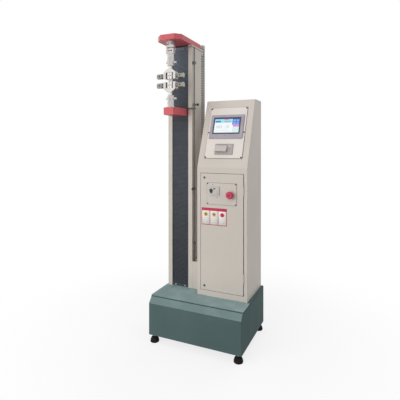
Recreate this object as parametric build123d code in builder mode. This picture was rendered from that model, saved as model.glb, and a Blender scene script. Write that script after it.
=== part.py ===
"""Single-column universal testing machine with a control cabinet, as separate pieces.

Millimetres. X runs to the right, Y to the back and Z up. The origin is on the floor under the
middle of the base. Everything stands at rest: jaws closed, door shut, crosshead at its test height.
"""
import os

from build123d import *

os.makedirs("parts", exist_ok=True)

# Running fits
slide_fit = 0.05
turn_gap = 0.3
loose_fit = 0.5
overcut = 1

# Base
base_depth = 420
foot_height = 45
chassis_height = 204
top_plate_thickness = 6
chassis_sheet = 3
chassis_corner = 6
nose_height = 30
nose_depth = 26
chassis_flange = 55
foot_inset = 25
foot_radius = 24.5
foot_pad_height = 34
foot_rim_height = 8.5
foot_neck_radius = 10
foot_stud_radius = 6
foot_stud_top = 40
foot_nut_flats = 19

# What stands on the base, from left to right
left_margin = 10
column_width = 160
middle_gap = 60
cabinet_width = 295
right_margin = 15

# Column
column_depth = 154
column_back_space = 60
column_height = 1427
column_wall = 5
column_slot = 106
column_edge = 2
column_foot_thickness = 22
column_head_thickness = 10
seam_depth = 1.5
seam_height = 2

# Bellows in the column's slot
bellows_setback = 4
bellows_fold = 18
bellows_pitch = 10
bellows_cloth = 2
bellows_end = 14
bellows_side_gap = 0.5
bellows_back_gap = 2

# Top cap
cap_thickness = 30
cap_reach = 158
cap_width = 152
cap_nose = 88
cap_nose_depth = 33
cap_back_inset = 32
cap_edge = 1.5

# Load train, from the cap down to the crosshead
load_reach = 116
mount_flange_radius = 23
mount_flange_height = 12
mount_stud_radius = 10
mount_stud_length = 10
mount_stud_drop = 2
mount_nut_radius = 17.5
mount_nut_height = 9
nut_recess_radius = 19
nut_recess_depth = 12
thread_depth = 14
thread_room = 0.5
load_cell_width = 48
load_cell_depth = 22
load_cell_height = 51
load_cell_slot = 4
load_cell_slot_overlap = 10.8
load_cell_slot_inset = 17.3
load_cell_corner = 2
gland_radius = 4
gland_length = 9
gland_root = 1
coupling_radius = 20
coupling_length = 67
neck_radius = 10.5
neck_length = 17
grip_width = 77
grip_depth = 34
grip_height = 58
grip_shoulder_width = 25
grip_shoulder_height = 20
grip_window_width = 45
grip_window_height = 36
grip_gap = 16
grip_edge = 1.2
grip_post_root = 2
lower_coupling_length = 69
lower_flange_radius = 24
lower_flange_height = 8
steel_edge = 1.5
pin_radius = 5
pin_rise = 19
pin_tail = 8
pin_head_radius = 7.5
pin_head_length = 15
pin_head_edge = 2

# Jaws and their clamping screws
jaw_gap = 1.5
jaw_thickness = 13.5
jaw_depth = 28
jaw_setback = 0.5
jaw_edge = 1
jaw_screw_hole = 2.6
jaw_screw_depth = 5
clamp_rise = 18
clamp_radius = 8
clamp_tip_radius = 6
clamp_tip_length = 6
clamp_neck_radius = 10
clamp_neck_length = 11
clamp_knob_radius = 15
clamp_knob_length = 34
clamp_bar_hole = 4
clamp_bar_setback = 15.3
clamp_knob_edge = 2

# Crosshead and its drive
crosshead_thickness = 40
crosshead_reach = 143
crosshead_nose = 60
crosshead_width = 92
crosshead_nose_depth = 40
screw_setback = 66
screw_radius = 12.5
screw_journal = 10
screw_end_gap = 1
bearing_radius = 23.5
bearing_height = 14
head_bearing_radius = 21
bearing_lip = 6
bearing_lip_hole = 15
nut_radius = 20
nut_flange_radius = 31
nut_flange_height = 12
rail_width = 15
rail_height = 15
rail_spacing = 88
rail_end_gap = 30
carriage_width = 34
carriage_height = 24
carriage_back_gap = 4.2
carriage_length = 52
carriage_spread = 64
carriage_plate_width = 124
carriage_plate_height = 130
carriage_plate_thickness = 18

# Motor drive inside the base
pulley_drop = 12
pulley_height = 30
pulley_flange = 2
pulley_lip = 3
screw_pulley_radius = 48
motor_pulley_radius = 19
motor_distance = 190
motor_size = 80
motor_length = 122
motor_shaft_radius = 7
motor_shaft_seat = 18
motor_corner = 6
bracket_thickness = 8
bracket_bore = 14
bracket_width = 130
bracket_depth = 112
bracket_post_radius = 8
bracket_post_inset = 12
bracket_drop = 54
belt_thickness = 3
belt_edge_gap = 1

# Limit rod at the column's front right corner
rod_radius = 3.5
rod_side = 10
rod_setback = 7
rod_head_gap = 12
rod_tail = 34
rod_seat_radius = 8.5
rod_seat_height = 6
spring_length = 107
spring_wire = 1.1
spring_radius = 6
spring_turns = 9
guide_drop = 96
guide_width = 18
guide_height = 14
guide_corner = 4
collar_radius = 8
collar_height = 14
collar_edge = 1
upper_collar_rise = 12
lower_collar_drop = 460
thumb_shaft_radius = 2.5
thumb_knob_radius = 7
thumb_knob_length = 11
thumb_knob_edge = 1.2
thumb_rod_gap = 0.6
thumb_reach = 16
arm_thickness = 5
arm_depth = 14
arm_column_gap = 6
arm_overlap = 41
arm_tab_margin = 8
arm_rod_clearance = 0.7

# Switch housing between column and cabinet
housing_height = 159
housing_depth = 104
housing_sheet = 2
micro_switch_size = 20
micro_switch_gap = 8

# Wiring duct behind the column
duct_width = 44
duct_depth = 30
duct_wall = 2
duct_rise = 34
duct_side_inset = 1
duct_slot = 8
duct_slot_pitch = 15
duct_slot_depth = 16
duct_slot_start = 3

# Cabinet
cabinet_sheet = 2.5
cabinet_back_gap = 3
cabinet_depth = 273
cabinet_front_height = 716
cabinet_height = 1100
slope_depth = 146
cabinet_edge = 3
back_panel_thickness = 2
back_panel_margin = 22
back_panel_lap = 10
connector_strip_height = 88

# Console on the cabinet's slope
panel_width = 221
panel_height = 308
panel_start = 54
panel_thickness = 3
panel_lap = 12
screen_width = 200
screen_height = 145
screen_start = 170
screen_bezel = 7
screen_corner = 4
screen_edge = 2
screen_body_inset = 6
screen_body_depth = 36
glass_width = 152
glass_height = 87
glass_rise = 33
glass_thickness = 1.5
glass_setback = 0.5
printer_width = 107
printer_height = 63
printer_start = 75
printer_bezel = 5
printer_edge = 1.5
printer_body_inset = 5
printer_body_depth = 46
printer_door_width = 66
printer_door_height = 40
printer_door_side = 7
printer_door_rise = 13
printer_door_bulge = 20
printer_door_lip = 3
printer_hinge_radius = 3
paper_bay_margin = 3
paper_bay_depth = 26

# Door and what it carries
door_left_margin = 22.5
door_right_margin = 24
door_bottom_margin = 32
door_top_margin = 33
door_gap = 2
door_hinge_gap = 9
door_sheet = 2
door_return = 15
hinge_pin_radius = 2
hinge_leaf = 2.4
hinge_ear = 2
hinge_knuckle_radius = 3.4
hinge_knuckle_length = 30
hinge_ear_length = 14
hinge_end_distance = 90
hinge_setback = 3.5
lock_side = 22.5
lock_end = 24
lock_head_radius = 6
lock_head_height = 2.5
lock_slot_width = 1.6
lock_slot_depth = 1.2
lock_slot_length = 8.4
lock_barrel_radius = 5
lock_barrel_length = 20
lock_cam_length = 30
lock_cam_width = 12
lock_cam_thickness = 2.5
switch_plate_width = 173
switch_plate_height = 118
switch_plate_side = 38.5
switch_plate_drop = 52
switch_plate_thickness = 2
switch_plate_corner = 2
breaker_width = 58
breaker_nose_height = 51
breaker_body_height = 84
breaker_body_depth = 56
breaker_side = 18
breaker_drop = 19
breaker_nose = 5
lever_width = 13
lever_thickness = 9
lever_reach = 11
lever_pivot_radius = 10
lever_pivot_depth = 5
lever_tilt = 25
lever_side = 3
estop_side = 140
estop_drop = 61.5
estop_collar_radius = 15
estop_collar_height = 5
estop_neck_radius = 11
estop_stem_radius = 8
estop_head_radius = 20
estop_head_gap = 8
estop_head_height = 13
estop_front_edge = 6
estop_back_edge = 2
estop_block = 34
estop_block_depth = 44

# Modules inside the cabinet, on its back panel
drive_width = 60
drive_depth = 150
drive_height = 180
supply_width = 100
supply_depth = 40
supply_height = 160
board_width = 125
board_depth = 30
board_height = 120
module_gap = 30
module_rise = 300
inlet_width = 48
inlet_height = 28
inlet_flange = 2.5
inlet_body_inset = 4
inlet_body_depth = 26
inlet_socket_side = 5
inlet_socket_end = 2.5
inlet_socket_depth = 18.2
inlet_rise = 66

# Screws
cap_screw_radius = 4
cap_screw_head = 6.5
cap_screw_head_height = 8
cap_screw_inset = 18
cap_screw_sink = 1
small_screw_radius = 2
small_screw_head = 3.8
small_screw_head_height = 2
panel_screw_inset = 5.3
bellows_screw_spacing = 62

# Places worked out from the sizes above
base_width = left_margin + column_width + middle_gap + cabinet_width + right_margin
base_left = -base_width / 2
base_back = base_depth / 2
base_front = -base_depth / 2
chassis_top = foot_height + chassis_height
base_top = chassis_top + top_plate_thickness

column_left = base_left + left_margin
column_right = column_left + column_width
column_x = (column_left + column_right) / 2
column_back = base_back - column_back_space
column_front = column_back - column_depth
column_top = base_top + column_height
inner_left = column_left + column_wall
inner_right = column_right - column_wall
inner_back = column_back - column_wall

cabinet_left = column_right + middle_gap
cabinet_right = cabinet_left + cabinet_width
cabinet_x = (cabinet_left + cabinet_right) / 2
cabinet_back = base_back - cabinet_back_gap
shell_back = cabinet_back - back_panel_thickness
cabinet_front = cabinet_back - cabinet_depth
cabinet_top = base_top + cabinet_height
slope_foot = base_top + cabinet_front_height
slope_top_y = cabinet_front + slope_depth

cap_top = column_top + cap_thickness
cap_front = column_front - cap_reach
cap_back = column_back - cap_back_inset
load_y = column_front - load_reach
flange_bottom = column_top - mount_flange_height
cell_top = flange_bottom - mount_stud_length
cell_bottom = cell_top - load_cell_height
upper_sleeve_bottom = cell_bottom - coupling_length
upper_grip_top = upper_sleeve_bottom - neck_length
upper_mouth = upper_grip_top - grip_height
lower_mouth = upper_mouth - grip_gap
lower_grip_bottom = lower_mouth - grip_height
lower_sleeve_top = lower_grip_bottom - neck_length
crosshead_top = lower_sleeve_top - lower_coupling_length
crosshead_bottom = crosshead_top - crosshead_thickness
upper_pin_z = upper_sleeve_bottom + pin_rise
lower_pin_z = lower_sleeve_top - pin_rise
post_length = neck_length + 2 * pin_rise

screw_y = column_front + screw_setback
rail_front = inner_back - rail_height
carriage_front = inner_back - carriage_back_gap - carriage_height
plate_front = carriage_front - carriage_plate_thickness
journal_seat = base_top + bearing_lip + bearing_height
pulley_top = chassis_top - pulley_drop
pulley_bottom = pulley_top - pulley_height
motor_x = column_x + motor_distance
bracket_top = chassis_top - bracket_drop
bracket_bottom = bracket_top - bracket_thickness

rod_x = column_right + rod_side
rod_y = column_front + rod_setback
housing_top = base_top + housing_height
spring_top = housing_top + spring_length
rod_top = column_top - rod_head_gap
rod_bottom = housing_top - rod_tail
arm_top = crosshead_top + arm_thickness
upper_collar_bottom = arm_top + upper_collar_rise
lower_collar_top = crosshead_top - lower_collar_drop

door_left = cabinet_left + door_left_margin
door_right = cabinet_right - door_right_margin
door_bottom = base_top + door_bottom_margin
door_top = slope_foot - door_top_margin
hinge_x = door_right + door_hinge_gap / 2
hinge_y = cabinet_front + hinge_setback
hinge_heights = (door_bottom + hinge_end_distance, door_top - hinge_end_distance)
lock_x = door_left + lock_side
lock_heights = (door_bottom + lock_end, door_top - lock_end)
switch_plate_left = door_left + switch_plate_side
switch_plate_top = door_top - switch_plate_drop
switch_plate_front = cabinet_front - switch_plate_thickness
breaker_left = switch_plate_left + breaker_side
breaker_top = switch_plate_top - breaker_drop
breaker_middle = breaker_top - breaker_nose_height / 2
estop_x = switch_plate_left + estop_side
estop_z = switch_plate_top - estop_drop

# The slope's own plane: X to the right, Y up the slope from its lower edge, Z out of it
slope_rise = cabinet_top - slope_foot
slope = Plane(
    origin=(cabinet_x, cabinet_front, slope_foot),
    x_dir=(1, 0, 0),
    z_dir=(0, -slope_rise, slope_depth),
)
slope_axis = Axis(slope.origin, slope.z_dir)
panel_middle = panel_start + panel_height / 2
screen_middle = screen_start + screen_height / 2
screen_front = panel_thickness + screen_bezel
printer_middle = printer_start + printer_height / 2
printer_front = panel_thickness + printer_bezel
paper_left = -printer_width / 2 + printer_door_side
paper_right = paper_left + printer_door_width
paper_foot = printer_start + printer_door_rise
paper_head = paper_foot + printer_door_height


def block(x_ends, y_ends, z_ends, mode=Mode.ADD):
    """Add a block between two ends on each axis to the open part, or cut it away."""
    middle = ((x_ends[0] + x_ends[1]) / 2, (y_ends[0] + y_ends[1]) / 2, (z_ends[0] + z_ends[1]) / 2)
    with Locations(middle):
        Box(x_ends[1] - x_ends[0], y_ends[1] - y_ends[0], z_ends[1] - z_ends[0], mode=mode)


def upright(x, y, z_ends, radius, mode=Mode.ADD):
    """Add or cut a round bar that stands along Z."""
    with Locations((x, y, (z_ends[0] + z_ends[1]) / 2)):
        Cylinder(radius, abs(z_ends[1] - z_ends[0]), mode=mode)


def across(x_ends, y, z, radius, mode=Mode.ADD):
    """Add or cut a round bar that lies along X."""
    with Locations(Location(((x_ends[0] + x_ends[1]) / 2, y, z), (0, 90, 0))):
        Cylinder(radius, abs(x_ends[1] - x_ends[0]), mode=mode)


def endwise(x, y_ends, z, radius, mode=Mode.ADD):
    """Add or cut a round bar that lies along Y."""
    with Locations(Location((x, (y_ends[0] + y_ends[1]) / 2, z), (90, 0, 0))):
        Cylinder(radius, abs(y_ends[1] - y_ends[0]), mode=mode)


def around(middle, half):
    """The two ends of a length that lies evenly about a middle."""
    return (middle - half, middle + half)


def write(piece, name):
    """Label a finished piece and write its file."""
    piece.label = name
    export_step(piece, f"parts/{name}.step")


def together(*pieces):
    """Several finished solids that share one file but stay separate."""
    return Compound([solid for piece in pieces for solid in piece.part.solids()])


def cut_apart(part, regions):
    """The sheets of a part, one solid for what lies in each region."""
    sheets = []
    for x_ends, y_ends, z_ends in regions:
        with BuildPart() as sheet:
            add(part)
            block(x_ends, y_ends, z_ends, Mode.INTERSECT)
        sheets.append(sheet)
    return sheets


# Base chassis: a folded sheet box with a bevelled front edge, open inside its flanges
chassis_outline = [
    (base_front, foot_height),
    (base_front, chassis_top - nose_height),
    (base_front + nose_depth, chassis_top),
    (base_back, chassis_top),
    (base_back, foot_height),
]
foot_places = [
    (x * (base_width / 2 - foot_inset), y * (base_back - foot_inset))
    for x in (-1, 1)
    for y in (-1, 1)
]

with BuildPart() as base_chassis:
    with BuildSketch(Plane.YZ.offset(base_left)):
        with BuildLine():
            Polyline(*chassis_outline, close=True)
        make_face()
    extrude(amount=base_width)
    end_faces = base_chassis.faces().filter_by(Axis.X)
    fillet(end_faces.edges().filter_by(Axis.Y, reverse=True), chassis_corner)
    with BuildSketch(Plane.YZ.offset(base_left + chassis_sheet)):
        with BuildLine():
            Polyline(*chassis_outline, close=True)
        make_face()
        offset(amount=-chassis_sheet, kind=Kind.INTERSECTION, mode=Mode.REPLACE)
    extrude(amount=base_width - 2 * chassis_sheet, mode=Mode.SUBTRACT)
    block(
        around(0, base_width / 2 - chassis_flange),
        around(0, base_back - chassis_flange),
        (foot_height - overcut, chassis_top + overcut),
        Mode.SUBTRACT,
    )
    for foot_x, foot_y in foot_places:
        stud_hole = foot_stud_radius + loose_fit / 2
        stud_hole_ends = (foot_height - overcut, foot_height + chassis_sheet + overcut)
        upright(foot_x, foot_y, stud_hole_ends, stud_hole, Mode.SUBTRACT)
write(base_chassis.part, "base_chassis")

with BuildPart() as base_top_plate:
    block((base_left, -base_left), (base_front + nose_depth, base_back), (chassis_top, base_top))
    fillet(base_top_plate.edges().filter_by(Axis.Z), chassis_corner)
    upright(column_x, screw_y, (chassis_top - overcut, base_top + overcut), bearing_lip_hole, Mode.SUBTRACT)
write(base_top_plate.part, "base_top_plate")

with BuildPart() as foot_pad:
    with BuildSketch(Plane.XZ):
        with BuildLine():
            rim = Line((foot_radius, 0), (foot_radius, foot_rim_height))
            RadiusArc(rim @ 1, (foot_neck_radius, foot_pad_height), -foot_radius)
            Line((foot_neck_radius, foot_pad_height), (0, foot_pad_height))
            Line((0, foot_pad_height), (0, 0))
            Line((0, 0), (foot_radius, 0))
        make_face()
    revolve(axis=Axis.Z)
    socket_floor = foot_pad_height - thread_depth
    upright(0, 0, (socket_floor, foot_pad_height + overcut), foot_stud_radius + slide_fit, Mode.SUBTRACT)

with BuildPart() as foot_pads:
    with Locations(*foot_places):
        add(foot_pad.part)
write(foot_pads.part, "foot_pads")

# Column: a channel of joined plates with a slot in front, and a foot and a head plate that seat the bearings
with BuildPart() as column_frame:
    with BuildSketch(Plane.XY.offset(base_top)):
        with Locations((column_x, (column_front + column_back) / 2)):
            Rectangle(column_width, column_depth)
            Rectangle(column_width - 2 * column_wall, column_depth - 2 * column_wall, mode=Mode.SUBTRACT)
        with Locations((column_x, column_front + column_wall / 2)):
            Rectangle(column_slot, column_wall, mode=Mode.SUBTRACT)
    extrude(amount=column_height)
    fillet(column_frame.edges().filter_by(Axis.Z).group_by(Axis.Y)[0], column_edge)
    foot_front = column_front + bellows_setback + bellows_fold + bellows_cloth + bellows_back_gap
    block((inner_left, inner_right), (foot_front, inner_back), (base_top, base_top + column_foot_thickness))
    block(
        (column_left, column_right),
        (column_front, column_back),
        (column_top - column_head_thickness, column_top),
    )
    with BuildSketch(Plane.XY.offset(column_top - column_head_thickness - seam_height)):
        with Locations((column_x, (column_front + column_back) / 2)):
            Rectangle(column_width + overcut, column_depth + overcut)
            Rectangle(column_width - 2 * seam_depth, column_depth - 2 * seam_depth, mode=Mode.SUBTRACT)
    extrude(amount=seam_height, mode=Mode.SUBTRACT)
    upright(column_x, screw_y, (base_top - overcut, base_top + bearing_lip), bearing_lip_hole, Mode.SUBTRACT)
    bearing_seat = (base_top + bearing_lip, base_top + column_foot_thickness + overcut)
    upright(column_x, screw_y, bearing_seat, bearing_radius + slide_fit, Mode.SUBTRACT)
    head_bearing_seat = (column_top - column_head_thickness - overcut, column_top + overcut)
    upright(column_x, screw_y, head_bearing_seat, head_bearing_radius + slide_fit, Mode.SUBTRACT)
    cap_screw_places = [
        (column_x + side * (cap_width / 2 - cap_screw_inset), y)
        for side in (-1, 1)
        for y in (column_front + cap_screw_inset, cap_back - cap_screw_inset)
    ]
    for screw_place in cap_screw_places:
        upright(*screw_place, head_bearing_seat, cap_screw_radius + slide_fit, Mode.SUBTRACT)
lip_y = (column_front, column_front + column_wall)
slot_x = around(column_x, column_slot / 2)
whole_column_y = (column_front, column_back)
wall_z = (base_top, column_top - column_head_thickness)
column_plates = [
    ((column_left, inner_left), whole_column_y, wall_z),
    ((inner_right, column_right), whole_column_y, wall_z),
    ((inner_left, inner_right), (inner_back, column_back), wall_z),
    ((inner_left, slot_x[0]), lip_y, wall_z),
    ((slot_x[1], inner_right), lip_y, wall_z),
    ((inner_left, inner_right), (foot_front, inner_back), (base_top, base_top + column_foot_thickness)),
    ((column_left, column_right), whole_column_y, (wall_z[1], column_top)),
]
write(together(*cut_apart(column_frame.part, column_plates)), "column_frame")

# Top cap: a thick plate that reaches forward over the load train
with BuildPart() as top_cap:
    with BuildSketch(Plane.XY.offset(column_top)):
        with BuildLine():
            Polyline(
                (column_x - cap_width / 2, cap_back),
                (column_x - cap_width / 2, cap_front + cap_nose_depth),
                (column_x - cap_nose / 2, cap_front),
                (column_x + cap_nose / 2, cap_front),
                (column_x + cap_width / 2, cap_front + cap_nose_depth),
                (column_x + cap_width / 2, cap_back),
                close=True,
            )
        make_face()
    extrude(amount=cap_thickness)
    chamfer(top_cap.faces().sort_by(Axis.Z)[-1].edges(), cap_edge)
    through_cap = (column_top - overcut, cap_top + overcut)
    upright(column_x, load_y, through_cap, mount_stud_radius + slide_fit, Mode.SUBTRACT)
    nut_recess = (cap_top - nut_recess_depth, cap_top + overcut)
    upright(column_x, load_y, nut_recess, nut_recess_radius, Mode.SUBTRACT)
    for screw_place in cap_screw_places:
        upright(*screw_place, through_cap, cap_screw_radius + slide_fit, Mode.SUBTRACT)
        head_recess = (cap_top - cap_screw_head_height - cap_screw_sink, cap_top + overcut)
        upright(*screw_place, head_recess, cap_screw_head + loose_fit, Mode.SUBTRACT)
write(top_cap.part, "top_cap")

# Guide rails, bearings and ball screw inside the column
rail_bottom = base_top + column_foot_thickness + rail_end_gap
rail_ends = (rail_bottom, column_top - column_head_thickness - rail_end_gap)
with BuildPart() as guide_rails:
    for side in (-1, 1):
        rail_x = column_x + side * rail_spacing / 2
        block(around(rail_x, rail_width / 2), (rail_front, inner_back), rail_ends)
write(guide_rails.part, "guide_rails")

with BuildPart() as screw_bearings:
    upright(column_x, screw_y, (base_top + bearing_lip, journal_seat), bearing_radius)
    upright(column_x, screw_y, (column_top - column_head_thickness, column_top), head_bearing_radius)
    bearing_bore = screw_journal + slide_fit
    upright(column_x, screw_y, (base_top, column_top), bearing_bore, Mode.SUBTRACT)
write(screw_bearings.part, "screw_bearings")

screw_shoulder = column_top - column_head_thickness
with BuildPart() as ball_screw:
    upright(column_x, screw_y, (pulley_bottom, journal_seat), screw_journal)
    upright(column_x, screw_y, (journal_seat, screw_shoulder), screw_radius)
    upright(column_x, screw_y, (screw_shoulder, column_top - screw_end_gap), screw_journal)
write(ball_screw.part, "ball_screw")


def pulley(x, rim_radius, bore_radius):
    """A flanged belt pulley on the drive's level, with a bore for its shaft."""
    with BuildPart() as wheel:
        upright(x, screw_y, (pulley_bottom, pulley_top), rim_radius)
        lip_radius = rim_radius + pulley_lip
        upright(x, screw_y, (pulley_bottom, pulley_bottom + pulley_flange), lip_radius)
        upright(x, screw_y, (pulley_top - pulley_flange, pulley_top), lip_radius)
        upright(x, screw_y, (pulley_bottom - overcut, pulley_top + overcut), bore_radius, Mode.SUBTRACT)
    return wheel


screw_pulley = pulley(column_x, screw_pulley_radius, screw_journal + slide_fit)
write(screw_pulley.part, "screw_pulley")

motor_wheel = pulley(motor_x, motor_pulley_radius, motor_shaft_radius)
with BuildPart() as motor_pulley:
    add(motor_wheel.part)
    upright(motor_x, screw_y, (bracket_bottom - motor_shaft_seat, pulley_top), motor_shaft_radius)
write(motor_pulley.part, "motor_pulley")

# Motor, its bracket under the top plate, and the belt
motor_top = bracket_bottom
motor_ends = (motor_top - motor_length, motor_top)
with BuildPart() as drive_motor:
    block(around(motor_x, motor_size / 2), around(screw_y, motor_size / 2), motor_ends)
    fillet(drive_motor.edges().filter_by(Axis.Z), motor_corner)
    shaft_well = (motor_top - motor_shaft_seat - loose_fit, motor_top + overcut)
    upright(motor_x, screw_y, shaft_well, motor_shaft_radius + slide_fit, Mode.SUBTRACT)
write(drive_motor.part, "drive_motor")

with BuildPart() as motor_bracket:
    block(
        around(motor_x, bracket_width / 2),
        around(screw_y, bracket_depth / 2),
        (bracket_bottom, bracket_top),
    )
    for side in (-1, 1):
        for end in (-1, 1):
            post_x = motor_x + side * (bracket_width / 2 - bracket_post_inset)
            post_y = screw_y + end * (bracket_depth / 2 - bracket_post_inset)
            upright(post_x, post_y, (bracket_top, chassis_top), bracket_post_radius)
    upright(motor_x, screw_y, (bracket_bottom - overcut, bracket_top + overcut), bracket_bore, Mode.SUBTRACT)
write(motor_bracket.part, "motor_bracket")

belt_bottom = pulley_bottom + pulley_flange + belt_edge_gap
belt_width = pulley_height - 2 * (pulley_flange + belt_edge_gap)
with BuildPart() as timing_belt:
    with BuildSketch(Plane.XY.offset(belt_bottom)):
        with Locations((column_x, screw_y)):
            Circle(screw_pulley_radius + turn_gap + belt_thickness)
        with Locations((motor_x, screw_y)):
            Circle(motor_pulley_radius + turn_gap + belt_thickness)
        make_hull()
    extrude(amount=belt_width)
    with BuildSketch(Plane.XY.offset(belt_bottom)):
        with Locations((column_x, screw_y)):
            Circle(screw_pulley_radius + turn_gap)
        with Locations((motor_x, screw_y)):
            Circle(motor_pulley_radius + turn_gap)
        make_hull()
    extrude(amount=belt_width, mode=Mode.SUBTRACT)
write(timing_belt.part, "timing_belt")


# Bellows: folded covers above and below the crosshead, with flat end plates
def bellows(bottom, top):
    """A pleated cover between two heights in the column's slot."""
    crest = column_front + bellows_setback
    folds = max(2, round((top - bottom - 2 * bellows_end) / bellows_pitch))
    step = (top - bottom - 2 * bellows_end) / (2 * folds)
    front_line = [(crest, bottom), (crest, bottom + bellows_end)]
    for index in range(1, 2 * folds):
        depth = bellows_fold if index % 2 else 0
        front_line.append((crest + depth, bottom + bellows_end + index * step))
    front_line += [(crest, top - bellows_end), (crest, top)]
    back_line = [(y + bellows_cloth, z) for y, z in reversed(front_line)]
    width = column_slot - 2 * bellows_side_gap
    with BuildPart() as cover:
        with BuildSketch(Plane.YZ.offset(column_x - width / 2)):
            with BuildLine():
                Polyline(*front_line, *back_line, close=True)
            make_face()
        extrude(amount=width)
        for screw_x in around(column_x, bellows_screw_spacing / 2):
            for screw_z in (bottom + bellows_end / 2, top - bellows_end / 2):
                hole_ends = (crest - overcut, crest + bellows_cloth + overcut)
                endwise(screw_x, hole_ends, screw_z, small_screw_radius + slide_fit, Mode.SUBTRACT)
    return cover


lower_bellows = bellows(base_top, crosshead_bottom)
write(lower_bellows.part, "lower_bellows")
upper_bellows = bellows(crosshead_top, column_top - column_head_thickness)
write(upper_bellows.part, "upper_bellows")

# Load cell: an S-shaped block cut by two opposed slots, with its mounting stud and nut
with BuildPart() as mount_stud:
    upright(column_x, load_y, (cell_top - thread_depth, cap_top - mount_stud_drop), mount_stud_radius)
    upright(column_x, load_y, (flange_bottom, column_top), mount_flange_radius)

with BuildPart() as mount_nut:
    with BuildSketch(Plane.XY.offset(cap_top - nut_recess_depth)):
        with Locations((column_x, load_y)):
            RegularPolygon(mount_nut_radius, 6)
            Circle(mount_stud_radius + slide_fit, mode=Mode.SUBTRACT)
    extrude(amount=mount_nut_height)

cell_half = load_cell_width / 2
upper_slot_z = cell_top - load_cell_slot_inset
lower_slot_z = cell_bottom + load_cell_slot_inset
with BuildPart() as load_cell:
    block(around(column_x, cell_half), around(load_y, load_cell_depth / 2), (cell_bottom, cell_top))
    fillet(load_cell.edges().filter_by(Axis.Y), load_cell_corner)
    slot_ends = around(load_y, load_cell_depth)
    block(
        (column_x - load_cell_slot_overlap, column_x + cell_half + overcut),
        slot_ends,
        around(upper_slot_z, load_cell_slot / 2),
        Mode.SUBTRACT,
    )
    block(
        (column_x - cell_half - overcut, column_x + load_cell_slot_overlap),
        slot_ends,
        around(lower_slot_z, load_cell_slot / 2),
        Mode.SUBTRACT,
    )
    endwise(column_x - load_cell_slot_overlap, slot_ends, upper_slot_z, load_cell_slot, Mode.SUBTRACT)
    endwise(column_x + load_cell_slot_overlap, slot_ends, lower_slot_z, load_cell_slot, Mode.SUBTRACT)
    gland_z = (upper_slot_z + lower_slot_z) / 2
    gland_ends = (column_x + cell_half - gland_root, column_x + cell_half + gland_length)
    across(gland_ends, load_y, gland_z, gland_radius)
    stud_thread = mount_stud_radius + slide_fit
    upper_thread = (cell_top - thread_depth - thread_room, cell_top + overcut)
    upright(column_x, load_y, upper_thread, stud_thread, Mode.SUBTRACT)
    lower_thread = (cell_bottom - overcut, cell_bottom + thread_depth + thread_room)
    upright(column_x, load_y, lower_thread, stud_thread, Mode.SUBTRACT)
write(together(mount_stud, mount_nut, load_cell), "load_cell")

# Couplings: sleeves that take a grip's post and lock it with a cross pin
pin_hole = pin_radius + slide_fit
with BuildPart() as upper_coupling:
    upright(column_x, load_y, (upper_sleeve_bottom, cell_bottom), coupling_radius)
    chamfer(upper_coupling.edges().filter_by(GeomType.CIRCLE), steel_edge)
    upright(column_x, load_y, (cell_bottom, cell_bottom + thread_depth), mount_stud_radius)
    post_well = (upper_sleeve_bottom - overcut, upper_grip_top + post_length + thread_room)
    upright(column_x, load_y, post_well, neck_radius + slide_fit, Mode.SUBTRACT)
    across(around(column_x, coupling_radius + overcut), load_y, upper_pin_z, pin_hole, Mode.SUBTRACT)
write(upper_coupling.part, "upper_coupling")

with BuildPart() as lower_coupling:
    upright(column_x, load_y, (crosshead_top, lower_sleeve_top), coupling_radius)
    chamfer(lower_coupling.edges().filter_by(GeomType.CIRCLE).sort_by(Axis.Z)[-1], steel_edge)
    upright(column_x, load_y, (crosshead_top, crosshead_top + lower_flange_height), lower_flange_radius)
    upright(column_x, load_y, (crosshead_top - thread_depth, crosshead_top), mount_stud_radius)
    post_well = (lower_grip_bottom - post_length - thread_room, lower_sleeve_top + overcut)
    upright(column_x, load_y, post_well, neck_radius + slide_fit, Mode.SUBTRACT)
    across(around(column_x, coupling_radius + overcut), load_y, lower_pin_z, pin_hole, Mode.SUBTRACT)
write(lower_coupling.part, "lower_coupling")


def cross_pin(pin_z):
    """A headed pin through a coupling and the post inside it."""
    with BuildPart() as pin:
        head_start = column_x + coupling_radius + turn_gap
        across((column_x - coupling_radius - pin_tail, head_start), load_y, pin_z, pin_radius)
        across((head_start, head_start + pin_head_length), load_y, pin_z, pin_head_radius)
        chamfer(pin.edges().filter_by(GeomType.CIRCLE).sort_by(Axis.X)[0], steel_edge)
        fillet(pin.edges().filter_by(GeomType.CIRCLE).sort_by(Axis.X)[-1], pin_head_edge)
    return pin


upper_pin = cross_pin(upper_pin_z)
write(upper_pin.part, "upper_pin")
lower_pin = cross_pin(lower_pin_z)
write(lower_pin.part, "lower_pin")


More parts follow.
